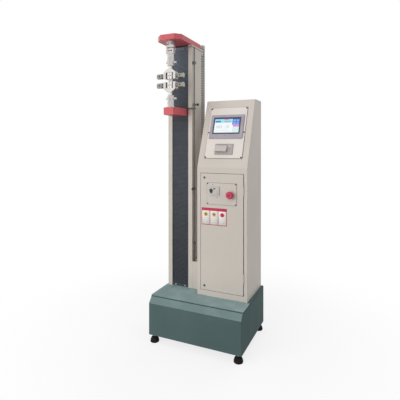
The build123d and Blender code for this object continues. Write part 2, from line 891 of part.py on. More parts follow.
# Grips: a forked body, two jaws inside it and a clamping screw through each arm
def grip_body(mouth, way):
    """A grip's forked body from its mouth; way is 1 for the upper grip and -1 for the lower."""
    half = grip_width / 2
    window = grip_window_width / 2
    outline = [
        (-half, 0),
        (-half, grip_height - grip_shoulder_height),
        (-half + grip_shoulder_width, grip_height),
        (half - grip_shoulder_width, grip_height),
        (half, grip_height - grip_shoulder_height),
        (half, 0),
        (window, 0),
        (window, grip_window_height),
        (-window, grip_window_height),
        (-window, 0),
    ]
    crown = mouth + way * grip_height
    with BuildPart() as body:
        with BuildSketch(Plane.XZ.offset(-load_y)):
            with BuildLine():
                Polyline(*[(column_x + x, mouth + way * rise) for x, rise in outline], close=True)
            make_face()
        extrude(amount=grip_depth / 2, both=True)
        chamfer(body.faces().filter_by(Axis.Y).edges().filter_by(Axis.X, reverse=True), grip_edge)
        upright(column_x, load_y, (crown - way * grip_post_root, crown + way * post_length), neck_radius)
        pin_z = crown + way * (neck_length + pin_rise)
        across(around(column_x, neck_radius + overcut), load_y, pin_z, pin_hole, Mode.SUBTRACT)
        clamp_z = mouth + way * clamp_rise
        across(around(column_x, half + overcut), load_y, clamp_z, clamp_radius + slide_fit, Mode.SUBTRACT)
    return body


def grip_jaw(mouth, way, side):
    """One jaw block; side is -1 for the left and 1 for the right."""
    inner = column_x + side * jaw_gap / 2
    outer = column_x + side * (jaw_gap / 2 + jaw_thickness)
    clamp_z = mouth + way * clamp_rise
    heights = sorted((mouth + way * jaw_setback, mouth + way * (grip_window_height - turn_gap)))
    with BuildPart() as jaw:
        block(sorted((inner, outer)), around(load_y, jaw_depth / 2), heights)
        chamfer(jaw.edges().filter_by(Axis.Z), jaw_edge)
        tip_well = sorted((outer - side * clamp_tip_length, outer + side * overcut))
        across(tip_well, load_y, clamp_z, clamp_tip_radius + slide_fit, Mode.SUBTRACT)
        face_y = load_y - jaw_depth / 2
        screw_hole = (face_y - overcut, face_y + jaw_screw_depth)
        endwise((inner + outer) / 2, screw_hole, clamp_z, jaw_screw_hole, Mode.SUBTRACT)
    return jaw


def clamp_screw(mouth, way, side):
    """A clamping screw with its round knob; its tip turns in the jaw."""
    jaw_back = jaw_gap / 2 + jaw_thickness
    tip = jaw_back - clamp_tip_length + turn_gap
    arm_face = grip_width / 2 + turn_gap
    neck_end = arm_face + clamp_neck_length
    knob_end = neck_end + clamp_knob_length
    clamp_z = mouth + way * clamp_rise

    def lengths(start, end):
        return sorted((column_x + side * start, column_x + side * end))

    with BuildPart() as clamp:
        across(lengths(tip, jaw_back + turn_gap), load_y, clamp_z, clamp_tip_radius)
        across(lengths(jaw_back + turn_gap, arm_face), load_y, clamp_z, clamp_radius)
        across(lengths(arm_face, neck_end), load_y, clamp_z, clamp_neck_radius)
        across(lengths(neck_end, knob_end), load_y, clamp_z, clamp_knob_radius)
        knob_rims = clamp.edges().filter_by(GeomType.CIRCLE).group_by(SortBy.RADIUS)[-1]
        chamfer(knob_rims, clamp_knob_edge)
        bar_x = column_x + side * (neck_end + clamp_bar_setback)
        endwise(bar_x, around(load_y, clamp_knob_radius + overcut), clamp_z, clamp_bar_hole, Mode.SUBTRACT)
    return clamp


write(grip_body(upper_mouth, 1).part, "upper_grip_body")
write(grip_body(lower_mouth, -1).part, "lower_grip_body")
for level, mouth, way in (("upper", upper_mouth, 1), ("lower", lower_mouth, -1)):
    for hand, side in (("left", -1), ("right", 1)):
        write(grip_jaw(mouth, way, side).part, f"{level}_{hand}_jaw")
        write(clamp_screw(mouth, way, side).part, f"{level}_{hand}_clamp")

# Crosshead: a nosed arm through the column's slot, carried by rail carriages and the ball nut
crosshead_front = column_front - crosshead_reach
with BuildPart() as crosshead_arm:
    with BuildSketch(Plane.XY.offset(crosshead_bottom)):
        with BuildLine():
            Polyline(
                (column_x - crosshead_width / 2, plate_front),
                (column_x - crosshead_width / 2, crosshead_front + crosshead_nose_depth),
                (column_x - crosshead_nose / 2, crosshead_front),
                (column_x + crosshead_nose / 2, crosshead_front),
                (column_x + crosshead_width / 2, crosshead_front + crosshead_nose_depth),
                (column_x + crosshead_width / 2, plate_front),
                close=True,
            )
        make_face()
    extrude(amount=crosshead_thickness)
    chamfer(crosshead_arm.faces().sort_by(Axis.Z)[-1].edges(), cap_edge)
    arm_ends = (crosshead_bottom - overcut, crosshead_top + overcut)
    upright(column_x, screw_y, arm_ends, nut_radius + slide_fit, Mode.SUBTRACT)
    stud_well = (crosshead_top - thread_depth - thread_room, crosshead_top + overcut)
    upright(column_x, load_y, stud_well, mount_stud_radius + slide_fit, Mode.SUBTRACT)
write(crosshead_arm.part, "crosshead_arm")

crosshead_middle = (crosshead_bottom + crosshead_top) / 2
with BuildPart() as carriage_plate:
    block(
        around(column_x, carriage_plate_width / 2),
        (plate_front, carriage_front),
        around(crosshead_middle, carriage_plate_height / 2),
    )

with BuildPart() as rail_carriages:
    for side in (-1, 1):
        for end in (-1, 1):
            carriage_x = column_x + side * rail_spacing / 2
            carriage_z = crosshead_middle + end * carriage_spread / 2
            carriage_ends = around(carriage_z, carriage_length / 2)
            carriage_depth = (carriage_front, carriage_front + carriage_height)
            block(around(carriage_x, carriage_width / 2), carriage_depth, carriage_ends)
            groove = around(carriage_x, rail_width / 2 + turn_gap)
            groove_depth = (rail_front - turn_gap, inner_back)
            block(groove, groove_depth, around(carriage_z, carriage_length), Mode.SUBTRACT)
write(together(carriage_plate, rail_carriages), "crosshead_carriage")

with BuildPart() as ball_nut:
    upright(column_x, screw_y, (crosshead_bottom, crosshead_top), nut_radius)
    upright(column_x, screw_y, (crosshead_bottom - nut_flange_height, crosshead_bottom), nut_flange_radius)
    nut_ends = (crosshead_bottom - nut_flange_height - overcut, crosshead_top + overcut)
    upright(column_x, screw_y, nut_ends, screw_radius + 2 * slide_fit, Mode.SUBTRACT)
write(ball_nut.part, "ball_nut")

# Limit arm: an angled plate on the crosshead that reaches round the column's corner to the rod
strip_back = column_front - arm_column_gap
strip_front = strip_back - arm_depth
with BuildPart() as limit_arm:
    arm_heights = (crosshead_top, arm_top)
    arm_start = column_x + crosshead_width / 2 - arm_overlap
    block((arm_start, rod_x + arm_tab_margin), (strip_front, strip_back), arm_heights)
    block(around(rod_x, arm_tab_margin), (strip_front, rod_y + arm_tab_margin), arm_heights)
    through_arm = (crosshead_top - overcut, arm_top + overcut)
    upright(rod_x, rod_y, through_arm, rod_radius + arm_rod_clearance, Mode.SUBTRACT)
write(limit_arm.part, "limit_arm")

# Limit rod with its guide, spring, set collars and the housing it dips into
with BuildPart() as limit_rod:
    upright(rod_x, rod_y, (rod_bottom, rod_top), rod_radius)
    upright(rod_x, rod_y, (spring_top, spring_top + rod_seat_height), rod_seat_radius)
write(limit_rod.part, "limit_rod")

guide_ends = around(column_top - guide_drop - column_head_thickness, guide_height / 2)
with BuildPart() as rod_guide:
    block((column_right, rod_x + guide_width / 2), around(rod_y, guide_width / 2), guide_ends)
    fillet(rod_guide.edges().filter_by(Axis.Z).group_by(Axis.X)[-1], guide_corner)
    through_guide = (guide_ends[0] - overcut, guide_ends[1] + overcut)
    upright(rod_x, rod_y, through_guide, rod_radius + 2 * slide_fit, Mode.SUBTRACT)
write(rod_guide.part, "rod_guide")

coil_height = spring_length - 2 * spring_wire - 2 * turn_gap
spring_foot = Plane(origin=(rod_x, rod_y, housing_top + spring_wire + turn_gap))
with BuildPart() as limit_spring:
    with BuildLine(spring_foot):
        coil = Helix(coil_height / spring_turns, coil_height, spring_radius)
    with BuildSketch(Plane(origin=coil @ 0, z_dir=coil % 0)):
        Circle(spring_wire)
    sweep(path=coil, is_frenet=True)
write(limit_spring.part, "limit_spring")


def set_collar(bottom, direction):
    """A clamp collar on the limit rod, tapped for its thumb screw."""
    middle = bottom + collar_height / 2
    with BuildPart() as collar:
        upright(rod_x, rod_y, (bottom, bottom + collar_height), collar_radius)
        chamfer(collar.edges().filter_by(GeomType.CIRCLE), collar_edge)
        rod_hole = (bottom - overcut, bottom + collar_height + overcut)
        upright(rod_x, rod_y, rod_hole, rod_radius + slide_fit, Mode.SUBTRACT)
        tapping = thumb_shaft_radius + slide_fit
        if direction == "right":
            across((rod_x, rod_x + collar_radius + overcut), rod_y, middle, tapping, Mode.SUBTRACT)
        else:
            endwise(rod_x, (rod_y - collar_radius - overcut, rod_y), middle, tapping, Mode.SUBTRACT)
    return collar


def thumb_screw(bottom, direction):
    """A thumb screw with a round knob that clamps a collar."""
    middle = bottom + collar_height / 2
    start = rod_radius + thumb_rod_gap
    knob_end = thumb_reach + thumb_knob_length
    with BuildPart() as thumb:
        if direction == "right":
            across((rod_x + start, rod_x + thumb_reach), rod_y, middle, thumb_shaft_radius)
            across((rod_x + thumb_reach, rod_x + knob_end), rod_y, middle, thumb_knob_radius)
        else:
            endwise(rod_x, (rod_y - thumb_reach, rod_y - start), middle, thumb_shaft_radius)
            endwise(rod_x, (rod_y - knob_end, rod_y - thumb_reach), middle, thumb_knob_radius)
        chamfer(thumb.edges().filter_by(GeomType.CIRCLE).group_by(SortBy.RADIUS)[-1], thumb_knob_edge)
    return thumb


lower_collar_bottom = lower_collar_top - collar_height
write(set_collar(upper_collar_bottom, "right").part, "upper_collar")
write(thumb_screw(upper_collar_bottom, "right").part, "upper_collar_knob")
write(set_collar(lower_collar_bottom, "front").part, "lower_collar")
write(thumb_screw(lower_collar_bottom, "front").part, "lower_collar_knob")

housing_right = cabinet_left - turn_gap
with BuildPart() as switch_housing:
    housing_ends = (column_front, column_front + housing_depth)
    block((column_right, housing_right), housing_ends, (base_top, housing_top))
    block(
        (column_right + housing_sheet, housing_right - housing_sheet),
        (column_front + housing_sheet, column_front + housing_depth + overcut),
        (base_top - overcut, housing_top - housing_sheet),
        Mode.SUBTRACT,
    )
    lid_hole = (housing_top - housing_sheet - overcut, housing_top + overcut)
    upright(rod_x, rod_y, lid_hole, rod_radius + 2 * slide_fit, Mode.SUBTRACT)
write(switch_housing.part, "switch_housing")

# Wiring duct: a back strip, two slotted walls and a lid
duct_right = column_right - duct_side_inset
duct_left = duct_right - duct_width
duct_back = column_back + duct_depth
duct_top = cap_top + duct_rise - cap_thickness
duct_length = duct_top - base_top
slot_count = int((duct_length - 2 * duct_slot_pitch) / duct_slot_pitch)
duct_ends = (base_top, duct_top)

with BuildPart() as duct_strip:
    block((duct_left, duct_right), (column_back, column_back + duct_wall), duct_ends)


def duct_wall_piece(wall_left):
    """One slotted side wall of the wiring duct."""
    wall_start = column_back + duct_wall
    wall_end = duct_back - duct_wall
    slot_middle = wall_start + duct_slot_start + duct_slot_depth / 2
    with BuildPart() as wall:
        with BuildSketch(Plane.YZ.offset(wall_left)):
            with Locations(((wall_start + wall_end) / 2, base_top + duct_length / 2)):
                Rectangle(wall_end - wall_start, duct_length)
            with Locations((slot_middle, base_top + duct_length / 2)):
                with GridLocations(1, duct_slot_pitch, 1, slot_count):
                    Rectangle(duct_slot_depth, duct_slot, mode=Mode.SUBTRACT)
        extrude(amount=duct_wall)
    return wall


with BuildPart() as duct_lid:
    block((duct_left, duct_right), (duct_back - duct_wall, duct_back), duct_ends)
left_duct_wall = duct_wall_piece(duct_left)
right_duct_wall = duct_wall_piece(duct_right - duct_wall)
write(together(duct_strip, left_duct_wall, right_duct_wall, duct_lid), "wiring_duct")

# Cabinet shell: a box of joined sheets with a sloped console, a door opening and a service opening behind
cabinet_outline = [
    (cabinet_front, base_top),
    (cabinet_front, slope_foot),
    (slope_top_y, cabinet_top),
    (shell_back, cabinet_top),
    (shell_back, base_top),
]
door_opening_x = (door_left - door_gap, door_right + door_hinge_gap)
door_opening_z = (door_bottom - door_gap, door_top + door_gap)
service_inset = back_panel_margin + back_panel_lap
service_x = (cabinet_left + service_inset, cabinet_right - service_inset)
service_z = (base_top + service_inset, cabinet_top - service_inset)
panel_screw_foot = panel_start + panel_screw_inset
panel_screw_head = panel_start + panel_height - panel_screw_inset
panel_screw_places = [
    (side * (panel_width / 2 - panel_screw_inset), height)
    for side in (-1, 1)
    for height in (panel_screw_foot, panel_middle, panel_screw_head)
]

with BuildPart() as cabinet_shell:
    with BuildSketch(Plane.YZ.offset(cabinet_left)):
        with BuildLine():
            Polyline(*cabinet_outline, close=True)
        make_face()
    extrude(amount=cabinet_width)
    side_faces = cabinet_shell.faces().filter_by(Axis.X)
    fillet(side_faces.edges().filter_by(Axis.Y, reverse=True), cabinet_edge)
    with BuildSketch(Plane.YZ.offset(cabinet_left + cabinet_sheet)):
        with BuildLine():
            Polyline(*cabinet_outline, close=True)
        make_face()
        offset(amount=-cabinet_sheet, kind=Kind.INTERSECTION, mode=Mode.REPLACE)
    extrude(amount=cabinet_width - 2 * cabinet_sheet, mode=Mode.SUBTRACT)
    block(door_opening_x, around(cabinet_front, 2 * cabinet_sheet), door_opening_z, Mode.SUBTRACT)
    block(service_x, around(shell_back, 2 * cabinet_sheet), service_z, Mode.SUBTRACT)
    with Locations(slope.location):
        block(
            around(0, panel_width / 2 - panel_lap),
            around(panel_middle, panel_height / 2 - panel_lap),
            around(0, 2 * cabinet_sheet),
            Mode.SUBTRACT,
        )
        for screw_x, screw_height in panel_screw_places:
            screw_hole = small_screw_radius + slide_fit
            upright(screw_x, screw_height, around(0, 2 * cabinet_sheet), screw_hole, Mode.SUBTRACT)
shell_x = (cabinet_left + cabinet_sheet, cabinet_right - cabinet_sheet)
shell_y = (cabinet_front + cabinet_sheet, shell_back - cabinet_sheet)
shell_z = (base_top + cabinet_sheet, cabinet_top - cabinet_sheet)
whole_shell_y = (cabinet_front, shell_back)
whole_shell_z = (base_top, cabinet_top)
shell_sheets = [
    ((cabinet_left, shell_x[0]), whole_shell_y, whole_shell_z),
    ((shell_x[1], cabinet_right), whole_shell_y, whole_shell_z),
    (shell_x, whole_shell_y, (base_top, shell_z[0])),
    (shell_x, whole_shell_y, (shell_z[1], cabinet_top)),
    (shell_x, (cabinet_front, shell_y[0]), shell_z),
    (shell_x, (shell_y[1], shell_back), shell_z),
    (shell_x, shell_y, shell_z),
]
write(together(*cut_apart(cabinet_shell.part, shell_sheets)), "cabinet_shell")

panel_back_x = (cabinet_left + back_panel_margin, cabinet_right - back_panel_margin)
panel_back_z = (base_top + back_panel_margin, cabinet_top - back_panel_margin)
inlet_x = cabinet_x + drive_width
inlet_z = base_top + inlet_rise
inlet_hole = (inlet_width / 2 - inlet_body_inset, inlet_height / 2 - inlet_body_inset)
strip_top = panel_back_z[0] + connector_strip_height
with BuildPart() as back_panel:
    block(panel_back_x, (shell_back, cabinet_back), (strip_top, panel_back_z[1]))

with BuildPart() as connector_strip:
    block(panel_back_x, (shell_back, cabinet_back), (panel_back_z[0], strip_top))
    block(
        around(inlet_x, inlet_hole[0]),
        around(cabinet_back, 2 * back_panel_thickness),
        around(inlet_z, inlet_hole[1]),
        Mode.SUBTRACT,
    )
write(together(back_panel, connector_strip), "cabinet_back_panel")

# Console panel, touch screen and printer, all in the slope's own plane
screen_hole = (screen_width / 2 - screen_body_inset, screen_height / 2 - screen_body_inset)
printer_hole = (printer_width / 2 - printer_body_inset, printer_height / 2 - printer_body_inset)
panel_cut = (-overcut, panel_thickness + overcut)

with BuildPart(slope) as console_panel:
    block(around(0, panel_width / 2), around(panel_middle, panel_height / 2), (0, panel_thickness))
    block(around(0, screen_hole[0]), around(screen_middle, screen_hole[1]), panel_cut, Mode.SUBTRACT)
    block(around(0, printer_hole[0]), around(printer_middle, printer_hole[1]), panel_cut, Mode.SUBTRACT)
    for screw_x, screw_height in panel_screw_places:
        upright(screw_x, screw_height, panel_cut, small_screw_radius + slide_fit, Mode.SUBTRACT)
write(console_panel.part, "console_panel")

glass_middle = screen_start + glass_rise + glass_height / 2
glass_seat = screen_front - glass_setback - glass_thickness
with BuildPart(slope) as touchscreen_case:
    bezel_ends = (panel_thickness, screen_front)
    block(around(0, screen_width / 2), around(screen_middle, screen_height / 2), bezel_ends)
    fillet(touchscreen_case.edges().filter_by(slope_axis), screen_corner)
    chamfer(touchscreen_case.faces().sort_by(slope_axis)[-1].edges(), screen_edge)
    body_ends = (panel_thickness - screen_body_depth, panel_thickness)
    case_half = (screen_hole[0] - loose_fit, screen_hole[1] - loose_fit)
    block(around(0, case_half[0]), around(screen_middle, case_half[1]), body_ends)
    glass_pocket = (glass_width / 2 + loose_fit / 2, glass_height / 2 + loose_fit / 2)
    pocket_ends = (glass_seat, screen_front + overcut)
    block(around(0, glass_pocket[0]), around(glass_middle, glass_pocket[1]), pocket_ends, Mode.SUBTRACT)
write(touchscreen_case.part, "touchscreen_case")

with BuildPart(slope) as touchscreen_glass:
    glass_ends = (glass_seat, glass_seat + glass_thickness)
    block(around(0, glass_width / 2), around(glass_middle, glass_height / 2), glass_ends)
write(touchscreen_glass.part, "touchscreen_glass")

with BuildPart(slope) as printer_body:
    bezel_ends = (panel_thickness, printer_front)
    block(around(0, printer_width / 2), around(printer_middle, printer_height / 2), bezel_ends)
    chamfer(printer_body.faces().sort_by(slope_axis)[-1].edges(), printer_edge)
    body_ends = (panel_thickness - printer_body_depth, panel_thickness)
    body_half = (printer_hole[0] - loose_fit, printer_hole[1] - loose_fit)
    block(around(0, body_half[0]), around(printer_middle, body_half[1]), body_ends)
    block(
        (paper_left + paper_bay_margin, paper_right - paper_bay_margin),
        (paper_foot + paper_bay_margin, paper_head - paper_bay_margin),
        (printer_front - paper_bay_depth, printer_front + overcut),
        Mode.SUBTRACT,
    )
write(printer_body.part, "printer_body")

printer_side = Plane(
    origin=slope.from_local_coords((paper_left, 0, 0)),
    x_dir=slope.y_dir,
    z_dir=slope.x_dir,
)
with BuildPart() as printer_door:
    with BuildSketch(printer_side):
        with BuildLine():
            Polyline(
                (paper_foot, printer_front + turn_gap),
                (paper_head, printer_front + turn_gap),
                (paper_head, printer_front + printer_door_lip),
                (paper_foot, printer_front + printer_door_bulge),
                close=True,
            )
        make_face()
    extrude(amount=printer_door_width)
    hinge_corner = slope.from_local_coords((paper_left, paper_foot, printer_front + turn_gap))
    long_edges = printer_door.edges().filter_by(Axis.X)
    fillet(long_edges.sort_by_distance(hinge_corner)[0], printer_hinge_radius)
write(printer_door.part, "printer_door")

# Door: a folded sheet tray with knuckles on its right edge and holes for its switches and locks
breaker_x = (breaker_left, breaker_left + breaker_width)
breaker_z = (breaker_top - breaker_nose_height, breaker_top)
door_back = cabinet_front + door_return
plate_cut = (switch_plate_front - overcut, door_back)

with BuildPart() as cabinet_door:
    block((door_left, door_right), (cabinet_front, door_back), (door_bottom, door_top))
    block(
        (door_left + door_sheet, door_right - door_sheet),
        (cabinet_front + door_sheet, door_back + overcut),
        (door_bottom + door_sheet, door_top - door_sheet),
        Mode.SUBTRACT,
    )
    for hinge_z in hinge_heights:
        knuckle_ends = around(hinge_z, hinge_knuckle_length / 2)
        upright(hinge_x, hinge_y, knuckle_ends, hinge_knuckle_radius)
        block((door_right - door_sheet, hinge_x), around(hinge_y, hinge_leaf / 2), knuckle_ends)
        pin_hole_ends = around(hinge_z, hinge_knuckle_length)
        upright(hinge_x, hinge_y, pin_hole_ends, hinge_pin_radius + slide_fit, Mode.SUBTRACT)
    block(breaker_x, plate_cut, breaker_z, Mode.SUBTRACT)
    endwise(estop_x, plate_cut, estop_z, estop_neck_radius + slide_fit, Mode.SUBTRACT)
    for lock_z in lock_heights:
        endwise(lock_x, plate_cut, lock_z, lock_barrel_radius + slide_fit, Mode.SUBTRACT)
write(cabinet_door.part, "cabinet_door")

with BuildPart() as switch_plate:
    block(
        (switch_plate_left, switch_plate_left + switch_plate_width),
        (switch_plate_front, cabinet_front),
        (switch_plate_top - switch_plate_height, switch_plate_top),
    )
    fillet(switch_plate.edges().filter_by(Axis.Y), switch_plate_corner)
    block(breaker_x, plate_cut, breaker_z, Mode.SUBTRACT)
    endwise(estop_x, plate_cut, estop_z, estop_neck_radius + slide_fit, Mode.SUBTRACT)
write(switch_plate.part, "switch_plate")

# Circuit breaker and emergency stop: bodies held by the door, with a lever and a button that move
nose_front = switch_plate_front - breaker_nose
lever_x = (breaker_left + lever_side, breaker_left + lever_side + lever_width)
lever_y = nose_front + lever_pivot_depth
nose_gap = loose_fit / 2
lever_room = lever_pivot_radius + turn_gap
breaker_body_back = cabinet_front + door_sheet + breaker_body_depth
with BuildPart() as breaker_body:
    nose_x = (breaker_x[0] + nose_gap, breaker_x[1] - nose_gap)
    nose_z = (breaker_z[0] + nose_gap, breaker_z[1] - nose_gap)
    block(nose_x, (nose_front, cabinet_front + door_sheet), nose_z)
    body_z = around(breaker_middle, breaker_body_height / 2)
    block(nose_x, (cabinet_front + door_sheet, breaker_body_back), body_z)
    lever_slot = (lever_x[0] - turn_gap, lever_x[1] + turn_gap)
    across(lever_slot, lever_y, breaker_middle, lever_room, Mode.SUBTRACT)

estop_front = switch_plate_front - estop_collar_height
estop_back = cabinet_front + door_sheet
with BuildPart() as estop_body:
    endwise(estop_x, (estop_front, switch_plate_front), estop_z, estop_collar_radius)
    endwise(estop_x, (switch_plate_front, estop_back), estop_z, estop_neck_radius)
    block(
        around(estop_x, estop_block / 2),
        (estop_back, estop_back + estop_block_depth),
        around(estop_z, estop_block / 2),
    )
    stem_well = (estop_front - overcut, estop_back + estop_block_depth / 2)
    endwise(estop_x, stem_well, estop_z, estop_stem_radius + slide_fit, Mode.SUBTRACT)
write(together(breaker_body, estop_body), "door_switches")

lever_length = lever_pivot_depth + lever_reach
with BuildPart() as breaker_lever:
    across(lever_x, lever_y, breaker_middle, lever_pivot_radius)
    with Locations(Location(((lever_x[0] + lever_x[1]) / 2, lever_y, breaker_middle), (-lever_tilt, 0, 0))):
        with Locations((0, -lever_length / 2, 0)):
            Box(lever_width, lever_length, lever_thickness)
write(breaker_lever.part, "breaker_lever")

head_back = estop_front - estop_head_gap
with BuildPart() as estop_button:
    endwise(estop_x, (head_back, estop_back + estop_block_depth / 4), estop_z, estop_stem_radius)
    endwise(estop_x, (head_back - estop_head_height, head_back), estop_z, estop_head_radius)
    head_rims = estop_button.edges().filter_by(GeomType.CIRCLE).group_by(SortBy.RADIUS)[-1]
    fillet(head_rims.sort_by(Axis.Y)[0], estop_front_edge)
    fillet(head_rims.sort_by(Axis.Y)[-1], estop_back_edge)
write(estop_button.part, "estop_button")


def door_lock(lock_z, cam_way):
    """A quarter-turn lock with its cam tongue turned clear of the frame."""
    with BuildPart() as lock:
        endwise(lock_x, (cabinet_front - lock_head_height, cabinet_front), lock_z, lock_head_radius)
        barrel_end = cabinet_front + lock_barrel_length
        endwise(lock_x, (cabinet_front, barrel_end), lock_z, lock_barrel_radius)
        cam_z = sorted((lock_z - cam_way * lock_cam_width / 2, lock_z + cam_way * lock_cam_length))
        cam_y = (barrel_end - lock_cam_thickness, barrel_end)
        block(around(lock_x, lock_cam_width / 2), cam_y, cam_z)
        lock_face = cabinet_front - lock_head_height
        slot_y = (lock_face - overcut, lock_face + lock_slot_depth)
        slot_z = around(lock_z, lock_slot_length / 2)
        block(around(lock_x, lock_slot_width / 2), slot_y, slot_z, Mode.SUBTRACT)
    return lock


write(door_lock(lock_heights[1], -1).part, "upper_door_lock")
write(door_lock(lock_heights[0], 1).part, "lower_door_lock")

# Electrical modules: drive, supply and control board on the back panel, power inlet, limit switch
module_floor = base_top + module_rise
drive_left = service_x[0] + module_gap / 2
supply_left = drive_left + drive_width + module_gap
with BuildPart() as servo_drive:
    block(
        (drive_left, drive_left + drive_width),
        (shell_back - drive_depth, shell_back),
        (module_floor, module_floor + drive_height),
    )

with BuildPart() as power_supply:
    block(
        (supply_left, supply_left + supply_width),
        (shell_back - supply_depth, shell_back),
        (module_floor + module_gap, module_floor + module_gap + supply_height),
    )

board_top = module_floor - module_gap
with BuildPart() as control_board:
    block(
        (drive_left, drive_left + board_width),
        (shell_back - board_depth, shell_back),
        (board_top - board_height, board_top),
    )

with BuildPart() as power_inlet:
    block(
        around(inlet_x, inlet_width / 2),
        (cabinet_back, cabinet_back + inlet_flange),
        around(inlet_z, inlet_height / 2),
    )
    body_x = around(inlet_x, inlet_hole[0] - loose_fit / 2)
    body_z = around(inlet_z, inlet_hole[1] - loose_fit / 2)
    block(body_x, (cabinet_back - inlet_body_depth, cabinet_back), body_z)
    socket_x = around(inlet_x, inlet_hole[0] - inlet_socket_side)
    socket_z = around(inlet_z, inlet_hole[1] - inlet_socket_end)
    socket_y = (cabinet_back - inlet_socket_depth, cabinet_back + inlet_flange + overcut)
    block(socket_x, socket_y, socket_z, Mode.SUBTRACT)
write(power_inlet.part, "power_inlet")

switch_top = rod_bottom - micro_switch_gap
with BuildPart() as micro_switch:
    block(
        around(rod_x, rod_side - housing_sheet - turn_gap),
        (column_front + housing_sheet, column_front + housing_sheet + micro_switch_size),
        (switch_top - micro_switch_size, switch_top),
    )
electrical_parts = (servo_drive, power_supply, control_board, micro_switch)
write(together(*electrical_parts), "electrical_modules")

# Fasteners that stay with the frame: foot studs, cap screws, panel and bellows screws, hinge pins
with BuildPart() as frame_fasteners:
    for foot_x, foot_y in foot_places:
        stud_ends = (foot_pad_height - thread_depth, foot_height + foot_stud_top)
        upright(foot_x, foot_y, stud_ends, foot_stud_radius)
        with Locations((foot_x, foot_y, (foot_pad_height + foot_height) / 2)):
            Cylinder(foot_nut_flats / 2, foot_height - foot_pad_height)
    for screw_place in cap_screw_places:
        head_seat = cap_top - cap_screw_head_height - cap_screw_sink
        upright(*screw_place, (column_top - column_head_thickness, head_seat), cap_screw_radius)
        upright(*screw_place, (head_seat, head_seat + cap_screw_head_height), cap_screw_head)
    crest = column_front + bellows_setback
    for screw_x in around(column_x, bellows_screw_spacing / 2):
        for screw_z in (base_top + bellows_end / 2, column_top - column_head_thickness - bellows_end / 2):
            endwise(screw_x, (crest - small_screw_head_height, crest), screw_z, small_screw_head)
            endwise(screw_x, (crest, crest + bellows_cloth), screw_z, small_screw_radius)
    for hinge_z in hinge_heights:
        ear_reach = hinge_knuckle_length / 2 + turn_gap + hinge_ear_length
        upright(hinge_x, hinge_y, around(hinge_z, ear_reach), hinge_pin_radius)
        for end in (-1, 1):
            ear_z = sorted((hinge_z + end * (ear_reach - hinge_ear_length), hinge_z + end * ear_reach))
            upright(hinge_x, hinge_y, ear_z, hinge_knuckle_radius)
            block((hinge_x, door_opening_x[1]), around(hinge_y, hinge_ear / 2), ear_z)
    with Locations(slope.location):
        for screw_x, screw_height in panel_screw_places:
            head_ends = (panel_thickness, panel_thickness + small_screw_head_height)
            upright(screw_x, screw_height, head_ends, small_screw_head)
            upright(screw_x, screw_height, (-cabinet_sheet, panel_thickness), small_screw_radius)
write(frame_fasteners.part, "frame_fasteners")
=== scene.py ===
"""Looks of a single-column testing machine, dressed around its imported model.

Metres. X runs to the machine's right, Y to its back and Z up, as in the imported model.
"""
import math

import bmesh
import bpy
from mathutils import Matrix, Vector


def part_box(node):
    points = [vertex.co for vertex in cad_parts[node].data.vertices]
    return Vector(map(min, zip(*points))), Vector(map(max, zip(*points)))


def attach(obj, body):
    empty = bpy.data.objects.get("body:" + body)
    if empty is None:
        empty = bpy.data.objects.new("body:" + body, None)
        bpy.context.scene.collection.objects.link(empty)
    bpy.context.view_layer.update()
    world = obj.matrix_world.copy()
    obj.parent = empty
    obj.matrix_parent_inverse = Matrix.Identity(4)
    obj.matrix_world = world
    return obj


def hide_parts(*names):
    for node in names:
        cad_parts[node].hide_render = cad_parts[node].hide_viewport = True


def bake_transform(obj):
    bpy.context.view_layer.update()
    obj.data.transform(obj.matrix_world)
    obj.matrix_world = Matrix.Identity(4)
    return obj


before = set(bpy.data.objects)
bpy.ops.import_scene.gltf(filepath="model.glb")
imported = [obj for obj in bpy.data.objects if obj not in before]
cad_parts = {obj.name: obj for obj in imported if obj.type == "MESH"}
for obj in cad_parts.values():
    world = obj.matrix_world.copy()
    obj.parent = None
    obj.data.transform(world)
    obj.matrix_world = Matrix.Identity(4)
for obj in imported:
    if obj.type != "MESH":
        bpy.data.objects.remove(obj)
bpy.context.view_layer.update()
scene = bpy.context.scene

# Camera, matched to the photograph's view. Its depth axis slants up by its rise for each unit of depth,
# which keeps upright edges parallel
CAMERA_PLACE = (0.8522, -1.9842, 1.0993)
CAMERA_TURN = 0.4277
CAMERA_DIP = 0.0051
CAMERA_LENS = 34.13
CAMERA_RISE = 0.1432

# The console's slope: where it starts on the cabinet's front, and how deep it runs back
SLOPE_FOOT = 0.971
SLOPE_TOP_Y = 0.08

# Small hardware, and the ways it faces
PAN_HEAD_RADIUS = 0.0036
PAN_HEAD_HEIGHT = 0.0019
HARDWARE_SIDES = 28
BEVEL_STEPS = 2
UP = (0, 0, 1)
FORWARD = (0, -1, 0)
BACKWARD = (0, 1, 0)

# How fine the patterns in the finishes are, as the scales of their noise
PAINT_MOTTLE = 3.5
ORANGE_PEEL = 620.0
PAINT_SCUFFS = 55.0
TOP_LIGHT_AND_DUST_PATCHES = 11.0
TOOL_MARKS = 1400.0
STEEL_SMUDGES = 38.0
PLASTIC_MOTTLE = 18.0
CLOTH_DUST = 24.0
DISPLAY_CLOUD = 30.0
CARD_FIBRE = 900.0
CARD_WEAR = 30.0

# Patterns with a pitch, and how far from a corner paint and plastic look rubbed
WEAVE_PITCH = 0.0014
DOT_PITCH = 0.0004
PAINT_RUB = 0.0018
PLASTIC_RUB = 0.0012

# How softly dust and painted top light end at the edge of a painted shadow
PAINTED_SHADOW_FADE = 0.004

# The bellows' cloth is darker towards its foot and lighter towards its head
FOOT_DARKENING_SHARE, FOOT_DARKENING_FULL, FOOT_DARKENING_END = 0.78, 0.3, 1.00
HEAD_LIGHTENING_SHARE, HEAD_LIGHTENING_START, HEAD_LIGHTENING_FULL = 0.7, 1.2, 1.66


